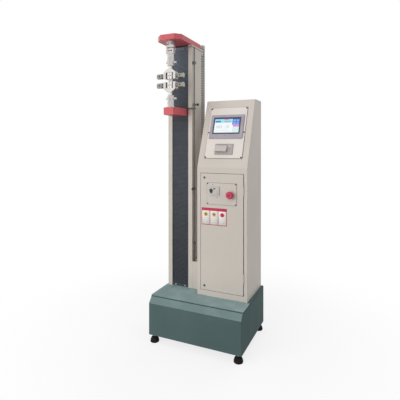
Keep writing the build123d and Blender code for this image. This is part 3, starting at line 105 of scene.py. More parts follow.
def linear(shown):
    """A colour given as a screen shows it, 0 to 255 for red, green and blue, as linear light."""
    def light(level):
        share = level / 255
        return share / 12.92 if share <= 0.04045 else ((share + 0.055) / 1.055) ** 2.4
    return (*(light(level) for level in shown), 1.0)


def math_method(operation, swapped=False):
    """A method of a strand that adds one Math node."""
    def method(self, other):
        first, second = (other, self) if swapped else (self, other)
        return self.finish.node("Math", {0: first, 1: second}, operation=operation)
    return method


class Strand:
    """A value on its way through a finish's nodes. Sums and products of it add Math nodes."""

    def __init__(self, finish, socket):
        self.finish = finish
        self.socket = socket

    __add__ = __radd__ = math_method("ADD")
    __sub__ = math_method("SUBTRACT")
    __rsub__ = math_method("SUBTRACT", swapped=True)
    __mul__ = __rmul__ = math_method("MULTIPLY")
    __gt__ = math_method("GREATER_THAN")


class Finish:
    """The nodes of one material, or of the world."""

    def __init__(self, owner):
        owner.use_nodes = True
        self.owner = owner
        self.tree = owner.node_tree
        self.tree.nodes.clear()

    def node(self, kind, sockets, output=0, **settings):
        """Add one node: its settings first, then the values or links of its sockets."""
        made = self.tree.nodes.new("ShaderNode" + kind)
        for key, value in settings.items():
            setattr(made, key, value)
        for key, value in sockets.items():
            if isinstance(value, Strand):
                self.tree.links.new(value.socket, made.inputs[key])
            else:
                made.inputs[key].default_value = value
        return Strand(self, made.outputs[output]) if made.outputs else None

    def along(self, vector, axis):
        return self.node("SeparateXYZ", {"Vector": vector}, axis)

    def cloud(self, vector, scale, detail=2.0, drawn_out=None):
        """Noise at a scale, which can be squeezed or drawn out along each axis."""
        if drawn_out:
            vector = self.node("Mapping", {"Vector": vector, "Scale": drawn_out})
        return self.node("TexNoise", {"Vector": vector, "Scale": scale, "Detail": detail})

    def grid(self, place, pitch):
        """A fine check of waves across and up an upright face, at a pitch in metres."""
        turns = [self.along(place, axis) * (2 * math.pi / pitch) for axis in "XZ"]
        waves = [self.node("Math", {0: turn}, operation="SINE") for turn in turns]
        return waves[0] * waves[1]

    def between(self, value, low, high):
        """0 below low, 1 above high, and smooth in between."""
        sockets = {"Value": value, "From Min": low, "From Max": high}
        return self.node("MapRange", sockets, interpolation_type="SMOOTHSTEP")

    def tint(self, mask, below, above):
        return self.node("Mix", {0: mask, 6: below, 7: above}, 2, data_type="RGBA")

    def facing(self, axis):
        """How far the surface faces along an axis of the machine."""
        return self.along(self.node("NewGeometry", {}, "Normal"), axis)

    def edge(self, reach):
        """1 where the surface turns a corner within a reach, 0 on its flats."""
        rounded = self.node("Bevel", {"Radius": reach}, samples=4)
        plain = self.node("NewGeometry", {}, "Normal")
        match = self.node("VectorMath", {0: rounded, 1: plain}, "Value", operation="DOT_PRODUCT")
        return self.between(1 - match, 0.02, 0.22)

    def relief(self, height, strength, depth, rounding=0.001):
        """Fine relief on a surface whose edges catch the light as if slightly rounded."""
        rounded = self.node("Bevel", {"Radius": rounding}, samples=4)
        sockets = {"Strength": strength, "Distance": depth, "Height": height, "Normal": rounded}
        return self.node("Bump", sockets)

    def cover(self, sockets):
        """Finish the material with these sockets of its shader."""
        shader = self.node("BsdfPrincipled", sockets)
        self.node("OutputMaterial", {"Surface": shader})
        return self.owner


def new_finish(name):
    """The nodes of a new material, and where a point of its surface lies on the machine, in metres."""
    finish = Finish(bpy.data.materials.new(name))
    return finish, finish.node("TexCoord", {}, "Object")


def powder_coat(name, colour, shade, rubbed, dust_and_top_light_colour, roughness, sheen=0.4, dust_and_top_light_share=0.14, painted_shadow_place=()):
    """Baked paint on sheet metal: faint mottling, orange peel, rubbed edges, and dust with painted top light.

    Faces that look up are lighter, partly from dust and partly painted light from above; to the right of
    and behind a place, given as X and Y, they are not, which is a painted shadow.
    """
    finish, place = new_finish(name)
    mottle = finish.between(finish.cloud(place, PAINT_MOTTLE, 4.0), 0.3, 0.7)
    peel = finish.cloud(place, ORANGE_PEEL)
    scuffed = finish.between(finish.cloud(place, PAINT_SCUFFS, 5.0), 0.42, 0.68)
    # Dust and painted top light: faces that look up are lighter, in patches
    dust_and_top_light = finish.between(finish.facing("Z"), 0.4, 0.95)
    dust_and_top_light = dust_and_top_light * (0.72 + 0.28 * finish.between(finish.cloud(place, TOP_LIGHT_AND_DUST_PATCHES, 5.0), 0.38, 0.75))
    # Painted shadow: to the right of and behind the given place, faces that look up get no dust or top light
    if painted_shadow_place:
        rightward = finish.between(finish.along(place, "X"), painted_shadow_place[0] - PAINTED_SHADOW_FADE, painted_shadow_place[0])
        backward = finish.between(finish.along(place, "Y"), painted_shadow_place[1] - 3 * PAINTED_SHADOW_FADE, painted_shadow_place[1])
        dust_and_top_light = dust_and_top_light * (1 - rightward * backward)
    body = finish.tint(mottle, linear(colour), linear(shade))
    body = finish.tint(finish.edge(PAINT_RUB) * (0.25 + 0.6 * scuffed), body, linear(rubbed))
    body = finish.tint(dust_and_top_light_share * dust_and_top_light, body, linear(dust_and_top_light_colour))
    return finish.cover({
        "Base Color": body,
        "Roughness": roughness + 0.1 * peel + 0.15 * dust_and_top_light,
        "Specular IOR Level": sheen,
        "Normal": finish.relief(peel, 0.1, 0.0004),
    })


def worked_steel(name, colour, dull, grain, roughness, smudged=0.4, painted_side_shade=0.0):
    """Bare or plated steel with fine tool marks; grain is how the marks are drawn out on each axis.

    Painted side shade makes the left and right sides darker than the front.
    """
    finish, place = new_finish(name)
    dull = linear(dull)
    marks = finish.cloud(place, TOOL_MARKS, 3.0, grain)
    smudge = finish.between(finish.cloud(place, STEEL_SMUDGES, 5.0), 0.45, 0.72)
    body = finish.tint(smudged * smudge, linear(colour), dull)
    # Painted shade: faces that look left or right are darker
    if painted_side_shade:
        sideways = finish.facing("X")
        body = finish.tint(painted_side_shade * finish.between(sideways * sideways, 0.25, 0.85), body, dull)
    body = finish.tint(finish.between(marks, 0.55, 0.8) * 0.35, body, dull)
    return finish.cover({
        "Base Color": body,
        "Metallic": 1.0,
        "Roughness": roughness + 0.16 * marks + 0.08 * smudge,
        "Normal": finish.relief(marks, 0.12, 0.0002),
    })


def moulded(name, colour, shade, roughness, grain, coat=0.0, sheen=0.5):
    """Moulded plastic or rubber with a fine spark-eroded grain and slightly lighter edges."""
    finish, place = new_finish(name)
    colour = linear(colour)
    pits = finish.cloud(place, grain)
    mottle = finish.between(finish.cloud(place, PLASTIC_MOTTLE, 4.0), 0.3, 0.75)
    body = finish.tint(mottle, colour, linear(shade))
    lighter = tuple(min(1.0, level * 1.25 + 0.02) for level in colour[:3]) + (1.0,)
    body = finish.tint(0.6 * finish.edge(PLASTIC_RUB), body, lighter)
    return finish.cover({
        "Base Color": body,
        "Roughness": roughness + 0.12 * pits,
        "Specular IOR Level": sheen,
        "Coat Weight": coat,
        "Coat Roughness": 0.08,
        "Normal": finish.relief(pits, 0.18, 0.0003),
    })


def folded_cloth(name, crest, valley_shade, foot_colour, head_colour, front, depth):
    """Coated cloth with a fine weave and painted shade in the valleys of its folds, darker than their crests.
    """
    finish, place = new_finish(name)
    valley_shade = linear(valley_shade)
    thread = finish.grid(place, WEAVE_PITCH)
    dusty = finish.between(finish.cloud(place, CLOTH_DUST, 5.0), 0.35, 0.75)
    # Painted shade: the cloth darkens from the bellows' front back into the valleys of its folds
    in_valley_shade = finish.between(finish.along(place, "Y"), front, front + depth)
    height = finish.along(place, "Z")
    above_foot = finish.between(height, FOOT_DARKENING_FULL, FOOT_DARKENING_END)
    near_head = finish.between(height, HEAD_LIGHTENING_START, HEAD_LIGHTENING_FULL)
    body = finish.tint(in_valley_shade, finish.tint(0.5 * dusty, linear(crest), valley_shade), valley_shade)
    body = finish.tint(FOOT_DARKENING_SHARE - FOOT_DARKENING_SHARE * above_foot, body, linear(foot_colour))
    body = finish.tint(HEAD_LIGHTENING_SHARE * near_head, body, linear(head_colour))
    return finish.cover({
        "Base Color": body,
        "Roughness": 0.62 + 0.1 * dusty,
        "Sheen Weight": 0.15,
        "Normal": finish.relief(thread, 0.2, 0.0002),
    })


def lit_display(name, colour):
    """A lit patch of the display, with the fine grid of its picture dots."""
    finish, place = new_finish(name)
    colour = linear(colour)
    dots = finish.grid(place, DOT_PITCH)
    dimmed = tuple(level * 0.86 for level in colour[:3]) + (1.0,)
    cloud = finish.between(finish.cloud(place, DISPLAY_CLOUD), 0.2, 0.8)
    return finish.cover({
        "Base Color": (0.01, 0.01, 0.012, 1.0),
        "Roughness": 0.12,
        "Emission Color": finish.tint(0.35 * cloud + 0.25 * dots + 0.25, colour, dimmed),
        "Emission Strength": 1.0,
    })


def plain_card(name, colour, shade):
    """Printed card under a clear film."""
    finish, place = new_finish(name)
    fibre = finish.cloud(place, CARD_FIBRE, 3.0, (1.0, 1.0, 0.3))
    worn = finish.between(finish.cloud(place, CARD_WEAR, 5.0), 0.4, 0.8)
    return finish.cover({
        "Base Color": finish.tint(0.4 * worn + 0.2 * fibre, linear(colour), linear(shade)),
        "Roughness": 0.4 + 0.15 * fibre,
        "Coat Weight": 0.3,
        "Coat Roughness": 0.15,
        "Normal": finish.relief(fibre, 0.06, 0.0002),
    })


# Paints: their colour and its shade, the colours of rubbed edges and of dust with painted top light, and
# their roughness
# The base's top is painted much lighter, as if lit from above, with a painted shadow beside the cabinet
base_green = powder_coat(
    "base_green_paint", (89, 108, 108), (84, 102, 102), (146, 163, 161), (180, 205, 205), 0.5,
    sheen=0.02, dust_and_top_light_share=0.64, painted_shadow_place=(0.257, -0.064))
machine_beige = powder_coat(
    "machine_beige_paint", (205, 197, 188), (200, 192, 183), (224, 218, 210), (206, 201, 193), 0.38)
panel_ivory = powder_coat(
    "panel_ivory", (224, 216, 210), (219, 211, 204), (236, 231, 225), (219, 213, 206), 0.34)
signal_red = powder_coat(
    "signal_red_paint", (209, 102, 108), (201, 95, 101), (226, 152, 153), (206, 126, 128), 0.36, sheen=0.3)
motor_black = powder_coat(
    "motor_black_paint", (42, 42, 45), (36, 36, 39), (92, 92, 94), (80, 79, 76), 0.42)
flange_dark = powder_coat(
    "flange_dark_paint", (62, 66, 74), (56, 60, 68), (98, 101, 107), (90, 92, 96), 0.5, sheen=0.2)

# Steels: their colour and its duller shade, the way of their tool marks, and their roughness
UPRIGHT, SIDEWAYS, INWARD = (1.0, 1.0, 0.06), (0.06, 1.0, 1.0), (1.0, 0.08, 1.0)
ROUND_UPRIGHT, ROUND_SIDEWAYS = (0.05, 0.05, 1.0), (1.0, 0.05, 0.05)
bright_steel = worked_steel("bright_steel", (222, 218, 215), (184, 180, 177), UPRIGHT, 0.3)
# The grips and the load cell carry painted shade on their left and right sides
ground_steel = worked_steel(
    "ground_steel", (229, 225, 222), (166, 162, 159), UPRIGHT, 0.3, smudged=0.2, painted_side_shade=0.75)
cell_steel = worked_steel(
    "cell_steel", (214, 206, 206), (150, 144, 144), SIDEWAYS, 0.3, smudged=0.2, painted_side_shade=0.75)
turned_steel = worked_steel(
    "turned_steel", (202, 198, 195), (138, 135, 132), ROUND_UPRIGHT, 0.24, smudged=0.25)
jaw_steel = worked_steel("jaw_steel", (243, 240, 237), (212, 209, 206), INWARD, 0.34)
# Painted shade: the knobs' steel is darker than the other steels, standing for dark reflections
shaded_knob_steel = worked_steel("shaded_knob_steel", (162, 160, 151), (104, 102, 95), ROUND_SIDEWAYS, 0.28)
dark_steel = worked_steel("dark_steel", (112, 109, 105), (78, 76, 73), ROUND_UPRIGHT, 0.34)
blackened_steel = worked_steel("blackened_steel", (72, 70, 68), (50, 48, 47), (1.0, 1.0, 0.2), 0.4)
pulley_aluminium = worked_steel(
    "pulley_aluminium", (200, 201, 203), (160, 161, 163), ROUND_UPRIGHT, 0.3)
brass_plate = worked_steel("brass_plate", (214, 190, 132), (170, 146, 96), (1.0, 1.0, 0.1), 0.24)

# Plastics and rubber: their colour and its shade, their roughness, and how fine their grain is
foot_rubber = moulded("foot_rubber", (32, 33, 32), (25, 26, 25), 0.68, 520.0, sheen=0.12)
duct_plastic = moulded("duct_plastic", (182, 178, 174), (174, 170, 166), 0.45, 700.0)
bezel_plastic = moulded("bezel_plastic", (166, 160, 169), (156, 150, 160), 0.42, 800.0)
surround_plastic = moulded("surround_plastic", (66, 68, 84), (56, 58, 74), 0.36, 900.0)
printer_grey = moulded("printer_plastic", (170, 164, 162), (161, 155, 153), 0.44, 800.0)
printer_light = moulded("printer_door_plastic", (198, 190, 187), (190, 182, 179), 0.42, 800.0)
module_casing = moulded("module_casing", (194, 190, 186), (184, 180, 176), 0.45, 700.0)
black_plastic = moulded("black_plastic", (34, 34, 36), (27, 27, 29), 0.34, 900.0, coat=0.2)
stop_red = moulded("stop_red_plastic", (190, 44, 82), (180, 38, 75), 0.34, 900.0, coat=0.1, sheen=0.3)
stop_rose = moulded("stop_rose_plastic", (212, 98, 128), (202, 90, 120), 0.34, 900.0, coat=0.1, sheen=0.3)
board_green = moulded("board_green", (38, 96, 66), (30, 82, 56), 0.36, 900.0, coat=0.2)
screen_border = moulded("display_border", (30, 32, 44), (24, 26, 38), 0.2, 900.0, coat=0.6)

card_white = plain_card("card_white", (236, 231, 226), (226, 220, 214))
card_rose = plain_card("card_rose", (178, 24, 66), (168, 18, 60))
card_ochre = plain_card("card_ochre", (200, 172, 66), (188, 160, 58))
card_line = plain_card("card_line", (150, 146, 146), (138, 134, 134))
card_slate = plain_card("card_slate", (84, 80, 70), (74, 70, 62))

# What each finish dresses
jaws = [f"{level}_{hand}_jaw" for level in ("upper", "lower") for hand in ("left", "right")]
clamps = [jaw.replace("jaw", "clamp") for jaw in jaws]
dressed = [
    (base_green, "base_chassis base_top_plate"),
    (machine_beige, "column_frame switch_housing cabinet_shell cabinet_back_panel cabinet_door switch_plate"),
    (signal_red, "top_cap crosshead_arm"),
    (bright_steel, "guide_rails screw_bearings crosshead_carriage motor_bracket"),
    (ground_steel, "upper_grip_body lower_grip_body"),
    (cell_steel, "load_cell"),
    (turned_steel, "ball_nut ball_screw upper_coupling lower_coupling upper_pin lower_pin"),
    (shaded_knob_steel, " ".join(clamps)),
    (jaw_steel, " ".join(jaws)),
    (dark_steel, "limit_rod limit_arm rod_guide upper_collar lower_collar upper_door_lock lower_door_lock"),
    (pulley_aluminium, "screw_pulley motor_pulley"),
    (foot_rubber, "foot_pads timing_belt"),
    (duct_plastic, "wiring_duct"),
    (panel_ivory, "console_panel"),
    (bezel_plastic, "touchscreen_case"),
    (printer_grey, "printer_body"),
    (printer_light, "printer_door"),
    (motor_black, "drive_motor"),
    (module_casing, "electrical_modules door_switches"),
    (black_plastic, "upper_collar_knob lower_collar_knob breaker_lever power_inlet"),
    (stop_red, "estop_button"),
]
for finish, nodes in dressed:
    for node in nodes.split():
        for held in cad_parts[node].material_slots:
            held.material = finish


class Shape:
    """A mesh in the making. Places are given in its own seat, a frame somewhere on the machine."""

    def __init__(self, seat=None):
        self.mesh = bmesh.new()
        self.seat = seat or Matrix.Identity(4)

    def block(self, low, high, edge=0.0):
        """A block between two corners, with rounded edges."""
        low, high = Vector(low), Vector(high)
        size = Matrix.Diagonal((*(high - low), 1.0))
        made = bmesh.ops.create_cube(
            self.mesh, size=1.0, matrix=self.seat @ Matrix.Translation((low + high) / 2) @ size)
        if edge:
            edges = list(dict.fromkeys(e for v in made["verts"] for e in v.link_edges))
            bmesh.ops.bevel(
                self.mesh, geom=edges, offset=edge, segments=BEVEL_STEPS, profile=0.5, affect="EDGES")

    def slab(self, low, high, front, back, edge=0.0):
        """A block given by its corners' X and Z, between a front and a back."""
        self.block((low[0], front, low[1]), (high[0], back, high[1]), edge)

    def slabs(self, count, step, low, high, front, back, edge=0.0):
        """A row of equal slabs, each a step in X and Z on from the last."""
        for number in range(count):
            x, z = step[0] * number, step[1] * number
            self.slab((low[0] + x, low[1] + z), (high[0] + x, high[1] + z), front, back, edge)

    def ring(self, places):
        """Corners at places in the seat."""
        return [self.mesh.verts.new(self.seat @ Vector(place)) for place in places]

    def skin(self, rings, looped=False):
        """Faces from each ring of corners to the next, and from the last to the first if looped.

        A ring can be a single tip.
        """
        for near, far in zip(rings, rings[1:] + rings[:1] if looped else rings[1:]):
            for step in range(max(len(near), len(far))):
                after = step + 1
                quad = [near[step % len(near)], near[after % len(near)],
                        far[after % len(far)], far[step % len(far)]]
                self.mesh.faces.new(list(dict.fromkeys(quad)))

    def turned(self, profile, centre, way, sides=HARDWARE_SIDES, flats=0):
        """A turned part; the profile gives distance along its axis and radius, point by point.

        Where its rim has flats, the radius is the distance to a flat.
        """
        half = math.pi / flats if flats else 0.0

        def rim(radius, angle):
            return radius / math.cos((angle + half) % (2 * half) - half) if flats else radius

        turn = Vector(way).to_track_quat("Z", "Y").to_matrix().to_4x4()
        seat = self.seat @ Matrix.Translation(centre) @ turn
        rings = []
        for along, radius in profile:
            angles = [2 * math.pi * step / sides for step in range(sides)] if radius else [0.0]
            places = [(rim(radius, a) * math.cos(a), rim(radius, a) * math.sin(a), along) for a in angles]
            rings.append([self.mesh.verts.new(seat @ Vector(place)) for place in places])
        self.skin(rings)
        for ring in (rings[0], rings[-1]):
            if len(ring) > 1:
                self.mesh.faces.new(ring)

    def sheet(self, rows):
        """A closed skin through rows of places, the last row joined to the first."""
        made = [self.ring(row) for row in rows]
        for row, following in zip(made, made[1:] + made[:1]):
            for left in range(len(row) - 1):
                self.mesh.faces.new((row[left], row[left + 1], following[left + 1], following[left]))
        self.mesh.faces.new([row[0] for row in made])
        self.mesh.faces.new([row[-1] for row in made])

    def piece(self, name, finish, slot=None, body="frame", stands_for=(), sharp=0.6):
        """The finished object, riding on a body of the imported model."""
        bmesh.ops.recalc_face_normals(self.mesh, faces=self.mesh.faces)
        data = bpy.data.meshes.new(name)
        self.mesh.to_mesh(data)
        self.mesh.free()
        data.materials.append(finish)
        data.shade_smooth()
        data.set_sharp_from_angle(angle=sharp)
        made = bpy.data.objects.new(name, data)
        scene.collection.objects.link(made)
        if body:
            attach(made, body)
        if stands_for:
            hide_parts(*stands_for)
        return made


# Bellows: pleated covers between the column and the crosshead, set back where they meet the crosshead
PLEAT_PITCH = 0.0075
PLEAT_STEPS = 8
PLEAT_SHARPNESS = 0.985
PLEAT_DEPTH = 0.0065
PLEAT_LEVEL, PLEAT_SWAY, PLEAT_SWAY_RATE = 0.94, 0.05, 2.3
CLOTH_THICKNESS = 0.0016
BELLOWS_END = 0.014
BELLOWS_END_GAP = 0.001
BELLOWS_SET_BACK = 0.005
BELLOWS_COLUMNS = 7


def bellows_cover(name, node, bottom_body, top_body):
    """A pleated cover in the place of a plain one."""
    low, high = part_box(node)
    start, end = low.z + BELLOWS_END, high.z - BELLOWS_END
    pleats = round((end - start) / PLEAT_PITCH)
    # Ends at the crosshead are set back, so that they take the painted shade of the folds' valleys
    foot_y, head_y = (low.y + BELLOWS_SET_BACK * (body == "crosshead") for body in (bottom_body, top_body))
    profile = [(foot_y, low.z), (foot_y, start - BELLOWS_END_GAP)]
    for step in range(pleats * PLEAT_STEPS + 1):
        turn = 2 * math.pi * step / PLEAT_STEPS
        crest = math.asin(PLEAT_SHARPNESS * math.cos(turn)) / math.asin(PLEAT_SHARPNESS)
        limp = PLEAT_LEVEL + PLEAT_SWAY * math.sin(PLEAT_SWAY_RATE * step / PLEAT_STEPS)
        height = start + (end - start) * step / (pleats * PLEAT_STEPS)
        profile.append((low.y + PLEAT_DEPTH * limp * (0.5 - 0.5 * crest), height))
    profile += [(head_y, end + BELLOWS_END_GAP), (head_y, high.z)]
    columns = [low.x + (high.x - low.x) * c / (BELLOWS_COLUMNS - 1) for c in range(BELLOWS_COLUMNS)]
    front = [[(x, y, z) for x in columns] for y, z in profile]
    back = [[(x, y + CLOTH_THICKNESS, z) for x in columns] for y, z in reversed(profile)]
    shape = Shape()
    shape.sheet(front + back)
    made = shape.piece(name, bellows_cloth, "bellows_cloth", body=None, stands_for=(node,), sharp=1.2)
    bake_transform(made)


bellows_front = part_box("lower_bellows")[0].y
# Its painted fold shade starts at the bellows' front and is full a pleat's depth behind it
bellows_cloth = folded_cloth(
    "bellows_cloth", (92, 98, 106), (68, 74, 82), (44, 51, 57), (124, 134, 146), bellows_front, PLEAT_DEPTH)
bellows_cover("lower_bellows_cover", "lower_bellows", "frame", "crosshead")
bellows_cover("upper_bellows_cover", "upper_bellows", "crosshead", "frame")

# Limit spring: a wound coil between the switch housing and the rod's seat
SPRING_TURNS = 9
DEAD_TURNS = 1.2
DEAD_TURN_RISE = 2.2
SPRING_WIRE = 0.0011
SPRING_STEPS = 28
WIRE_SIDES = 8


def limit_spring_coil():
    """A coil with closed end turns, in the place of the plain one."""
    low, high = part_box("limit_spring")
    wire = SPRING_WIRE
    radius = (high.x - low.x) / 2 - wire
    middle = (low + high) / 2
    total = SPRING_TURNS + 2 * DEAD_TURNS
    steps = int(total * SPRING_STEPS)
    reach = high.z - low.z - 2 * wire
    closed = DEAD_TURNS * DEAD_TURN_RISE * wire
    shape = Shape()
    rings = []
    for step in range(steps + 1):
        turn = total * step / steps
        dead = min(turn, DEAD_TURNS) + max(0.0, turn - DEAD_TURNS - SPRING_TURNS)
        rise = closed * dead / DEAD_TURNS + (reach - 2 * closed) * (turn - dead) / SPRING_TURNS
        angle, height = 2 * math.pi * turn, low.z + wire + rise
        outward = Vector((math.cos(angle), math.sin(angle), 0))
        places = []
        for side in range(WIRE_SIDES):
            around = 2 * math.pi * side / WIRE_SIDES
            centre = Vector((middle.x, middle.y, height + wire * math.sin(around)))
            places.append(centre + outward * (radius + wire * math.cos(around)))
        rings.append(shape.ring(places))
    shape.skin(rings)
    shape.mesh.faces.new(rings[0])
    shape.mesh.faces.new(rings[-1])
    made = shape.piece("limit_spring_coil", dark_steel, "dark_steel", body=None, stands_for=("limit_spring",))
    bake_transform(made)


limit_spring_coil()

# The slope's own frame: X to the right from the cabinet's middle, Y up the slope, Z out of it
cabinet_low, cabinet_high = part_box("cabinet_shell")
cabinet_x = (cabinet_low.x + cabinet_high.x) / 2
up_slope = Vector((0, SLOPE_TOP_Y - cabinet_low.y, cabinet_high.z - SLOPE_FOOT)).normalized()
out_of_slope = Vector((1, 0, 0)).cross(up_slope)
slope = Matrix.Identity(4)
slope.col[1] = (*up_slope, 0)
slope.col[2] = (*out_of_slope, 0)
slope.col[3] = (cabinet_x, cabinet_low.y, SLOPE_FOOT, 1)

# Touch screen: a dark glass with a lit picture, set in a dark surround on the grey case
GLASS_SIDE = 0.076
GLASS_FOOT = 0.203
GLASS_HEAD = 0.29
GLASS_BACK = 0.008
GLASS_FRONT = 0.0093
PICTURE_FRONT = 0.0094
TILE_FRONT = 0.0095
KEY_FRONT = TILE_FRONT + 0.00005
CASE_FRONT = 0.01
SURROUND_SIDE = 0.006
SURROUND_FOOT = 0.0065
SURROUND_HEAD = 0.0085
SURROUND_RISE = 0.0008

glass = Shape(slope)
glass.block((-GLASS_SIDE, GLASS_FOOT, GLASS_BACK), (GLASS_SIDE, GLASS_HEAD, GLASS_FRONT), 0.0003)
glass.piece("touch_glass", screen_border, "screen_glass", stands_for=("touchscreen_glass",))


def picture(name, tone, colour, tiles):
    """Flat patches of the picture in one colour.

    Each has its left, foot, right and head, in shares of the display from its lower left, and its front.
    """
    width, height = 2 * GLASS_SIDE, GLASS_HEAD - GLASS_FOOT
    shape = Shape(slope)
    for left, foot, right, head, front in tiles:
        shape.block(
            (-GLASS_SIDE + left * width, GLASS_FOOT + foot * height, GLASS_FRONT),
            (-GLASS_SIDE + right * width, GLASS_FOOT + head * height, front))
    shape.piece(name, lit_display(f"display_{tone}", colour), "screen_glass")


# Which of a figure's seven bars are lit: top, upper left and right, middle, lower left and right, bottom
FIGURE_BARS = {"0": "1110111", "1": "0010010", "2": "1011101", "5": "1101011"}
BAR_PLACES = [(0.1, 0.9, 0.9, 1.0), (0.0, 0.5, 0.15, 0.95), (0.85, 0.5, 1.0, 0.95), (0.1, 0.45, 0.9, 0.55),
              (0.0, 0.05, 0.15, 0.5), (0.85, 0.05, 1.0, 0.5), (0.1, 0.0, 0.9, 0.1)]
FIGURE_PITCH = 1.35


def reading(figures, left, foot, width, height):
    """The patches of a row of seven-bar figures."""
    tiles = []
    for number, figure in enumerate(figures):
        start = left + FIGURE_PITCH * width * number
        for lit, (x0, y0, x1, y1) in zip(FIGURE_BARS[figure], BAR_PLACES):
            if lit == "1":
                tiles.append((start + x0 * width, foot + y0 * height,
                              start + x1 * width, foot + y1 * height, TILE_FRONT))
    return tiles


small_keys = [(x, y, x + 0.075, y + 0.1, TILE_FRONT)
              for y in (0.05, 0.17, 0.29) for x in (0.735, 0.82, 0.905)]
large_keys = [(x, y, x + 0.095, y + 0.14, KEY_FRONT) for x in (0.745, 0.87) for y in (0.6, 0.79)]
rules = [(0.07, 0.16, 0.66, 0.165, TILE_FRONT), (0.4, 0.76, 0.64, 0.81, KEY_FRONT)]
picture("display_field", "white", (244, 251, 252), [(0.012, 0.02, 0.988, 0.98, PICTURE_FRONT)])
picture("display_head_strip", "cyan", (158, 226, 242), [(0.012, 0.71, 0.7, 0.98, TILE_FRONT)])
picture("display_blue_keys", "blue", (78, 112, 206),
        [(0.71, 0.56, 0.988, 0.98, TILE_FRONT), (0.04, 0.75, 0.25, 0.86, KEY_FRONT)])
picture("display_pink_bar", "pink", (236, 120, 206),
        [(0.745, 0.42, 0.988, 0.54, TILE_FRONT), (0.38, 0.89, 0.57, 0.965, KEY_FRONT)])
picture("display_key_grid", "mint", (206, 238, 236), small_keys)
picture("display_key_faces", "sky", (126, 176, 236), large_keys)
picture("display_readings", "slate", (132, 158, 172),
        reading("0000", 0.09, 0.34, 0.045, 0.17) + reading("125", 0.46, 0.34, 0.04, 0.15) + rules)


def rectangle(side, foot, head):
    """The corners of an upright oblong about the slope's middle line."""
    return [(-side, foot), (side, foot), (side, head), (-side, head)]


# A dark chamfered frame between the glass and the grey case
inner = rectangle(GLASS_SIDE, GLASS_FOOT, GLASS_HEAD)
outer = rectangle(GLASS_SIDE + SURROUND_SIDE, GLASS_FOOT - SURROUND_FOOT, GLASS_HEAD + SURROUND_HEAD)
surround_rims = [(inner, GLASS_FRONT), (inner, CASE_FRONT + SURROUND_RISE / 2),
                 (outer, CASE_FRONT + SURROUND_RISE), (outer, CASE_FRONT)]
surround = Shape(slope)
surround.skin([surround.ring([(*corner, height) for corner in rim]) for rim, height in surround_rims], True)
surround.piece("display_surround", surround_plastic, "bezel_plastic", sharp=0.3)

INDICATOR = [(0, 0.0022), (0.0008, 0.0022), (0.0012, 0.0016), (0.0014, 0)]
indicator = Shape(slope)
indicator.turned(INDICATOR, (-0.0056, 0.184, CASE_FRONT), UP)
indicator.piece("screen_indicator", black_plastic, "black_plastic")

# Printer: a feed key and a small lamp beside its door, and a paper slot above it
PRINTER_FRONT = 0.008
FEED_KEY_RISE = 0.0016
PAPER_SLOT_RISE = 0.0006
PRINTER_LAMP = [(0, 0.0016), (0.0009, 0.0016), (0.0013, 0)]
feed_key = Shape(slope)
feed_key.block((0.028, 0.118, PRINTER_FRONT), (0.044, 0.127, PRINTER_FRONT + FEED_KEY_RISE), 0.0007)
feed_key.piece("printer_feed_key", printer_light, "printer_plastic")
paper_slot = Shape(slope)
paper_slot.block((-0.043, 0.1292, PRINTER_FRONT), (0.017, 0.1312, PRINTER_FRONT + PAPER_SLOT_RISE), 0.0002)
paper_slot.turned(PRINTER_LAMP, (0.036, 0.107, PRINTER_FRONT), UP, 20)
paper_slot.piece("printer_paper_slot", black_plastic, "black_plastic")

# Pan-head screws with a cross recess
CROSS_ARM = 0.62
CROSS_WIDTH = 0.17
CROSS_SINK = 0.55
SCREW_TWIST = 0.7


def pan_head():
    """One screw head with a cross recess, as corners and faces around its own axis."""
    head = Shape()
    radius, height = PAN_HEAD_RADIUS, PAN_HEAD_HEIGHT
    head.turned([(0, radius), (0.45 * height, radius), (0.8 * height, 0.84 * radius), (height, 0.5 * radius),
                 (1.03 * height, 0)], (0, 0, 0), UP)
    blank = head.piece("blank_head", bright_steel, body=None)
    recess = Shape()
    arm, half = CROSS_ARM * radius, CROSS_WIDTH * radius
    quarter = [(half, half), (half, arm), (-half, arm)]
    turns = ((1, 0), (0, 1), (-1, 0), (0, -1))
    outline = [(x * c - y * s, x * s + y * c) for c, s in turns for x, y in quarter]
    rims = [recess.ring([(x, y, z) for x, y in outline]) for z in ((1 - CROSS_SINK) * height, 2 * height)]
    for rim in rims:
        recess.mesh.faces.new(rim)
    recess.skin(rims)
    cutter = recess.piece("recess_cutter", bright_steel, body=None)
    cut = blank.modifiers.new("recess", "BOOLEAN")
    cut.operation = "DIFFERENCE"
    cut.object = cutter
    result = bpy.data.meshes.new_from_object(blank.evaluated_get(bpy.context.evaluated_depsgraph_get()))
    corners = [v.co.copy() for v in result.vertices]
    faces = [tuple(p.vertices) for p in result.polygons]
    for scrap in (blank, cutter):
        bpy.data.objects.remove(scrap)
    return corners, faces


head_corners, head_faces = pan_head()


def drive_screws(name, places, way, body="frame", seat=None, size=1.0, finish=blackened_steel,
                 slot="dark_steel"):
    """A row of pan-head screws seated at places, facing one way."""
    shape = Shape(seat)
    turn = Vector(way).to_track_quat("Z", "Y").to_matrix().to_4x4()
    for number, place in enumerate(places):
        twist = Matrix.Rotation(SCREW_TWIST * number, 4, "Z")
        stand = shape.seat @ Matrix.Translation(place) @ turn @ twist @ Matrix.Scale(size, 4)
        made = [shape.mesh.verts.new(stand @ corner) for corner in head_corners]
        for face in head_faces:
            shape.mesh.faces.new([made[index] for index in face])
    shape.piece(name, finish, slot, body)


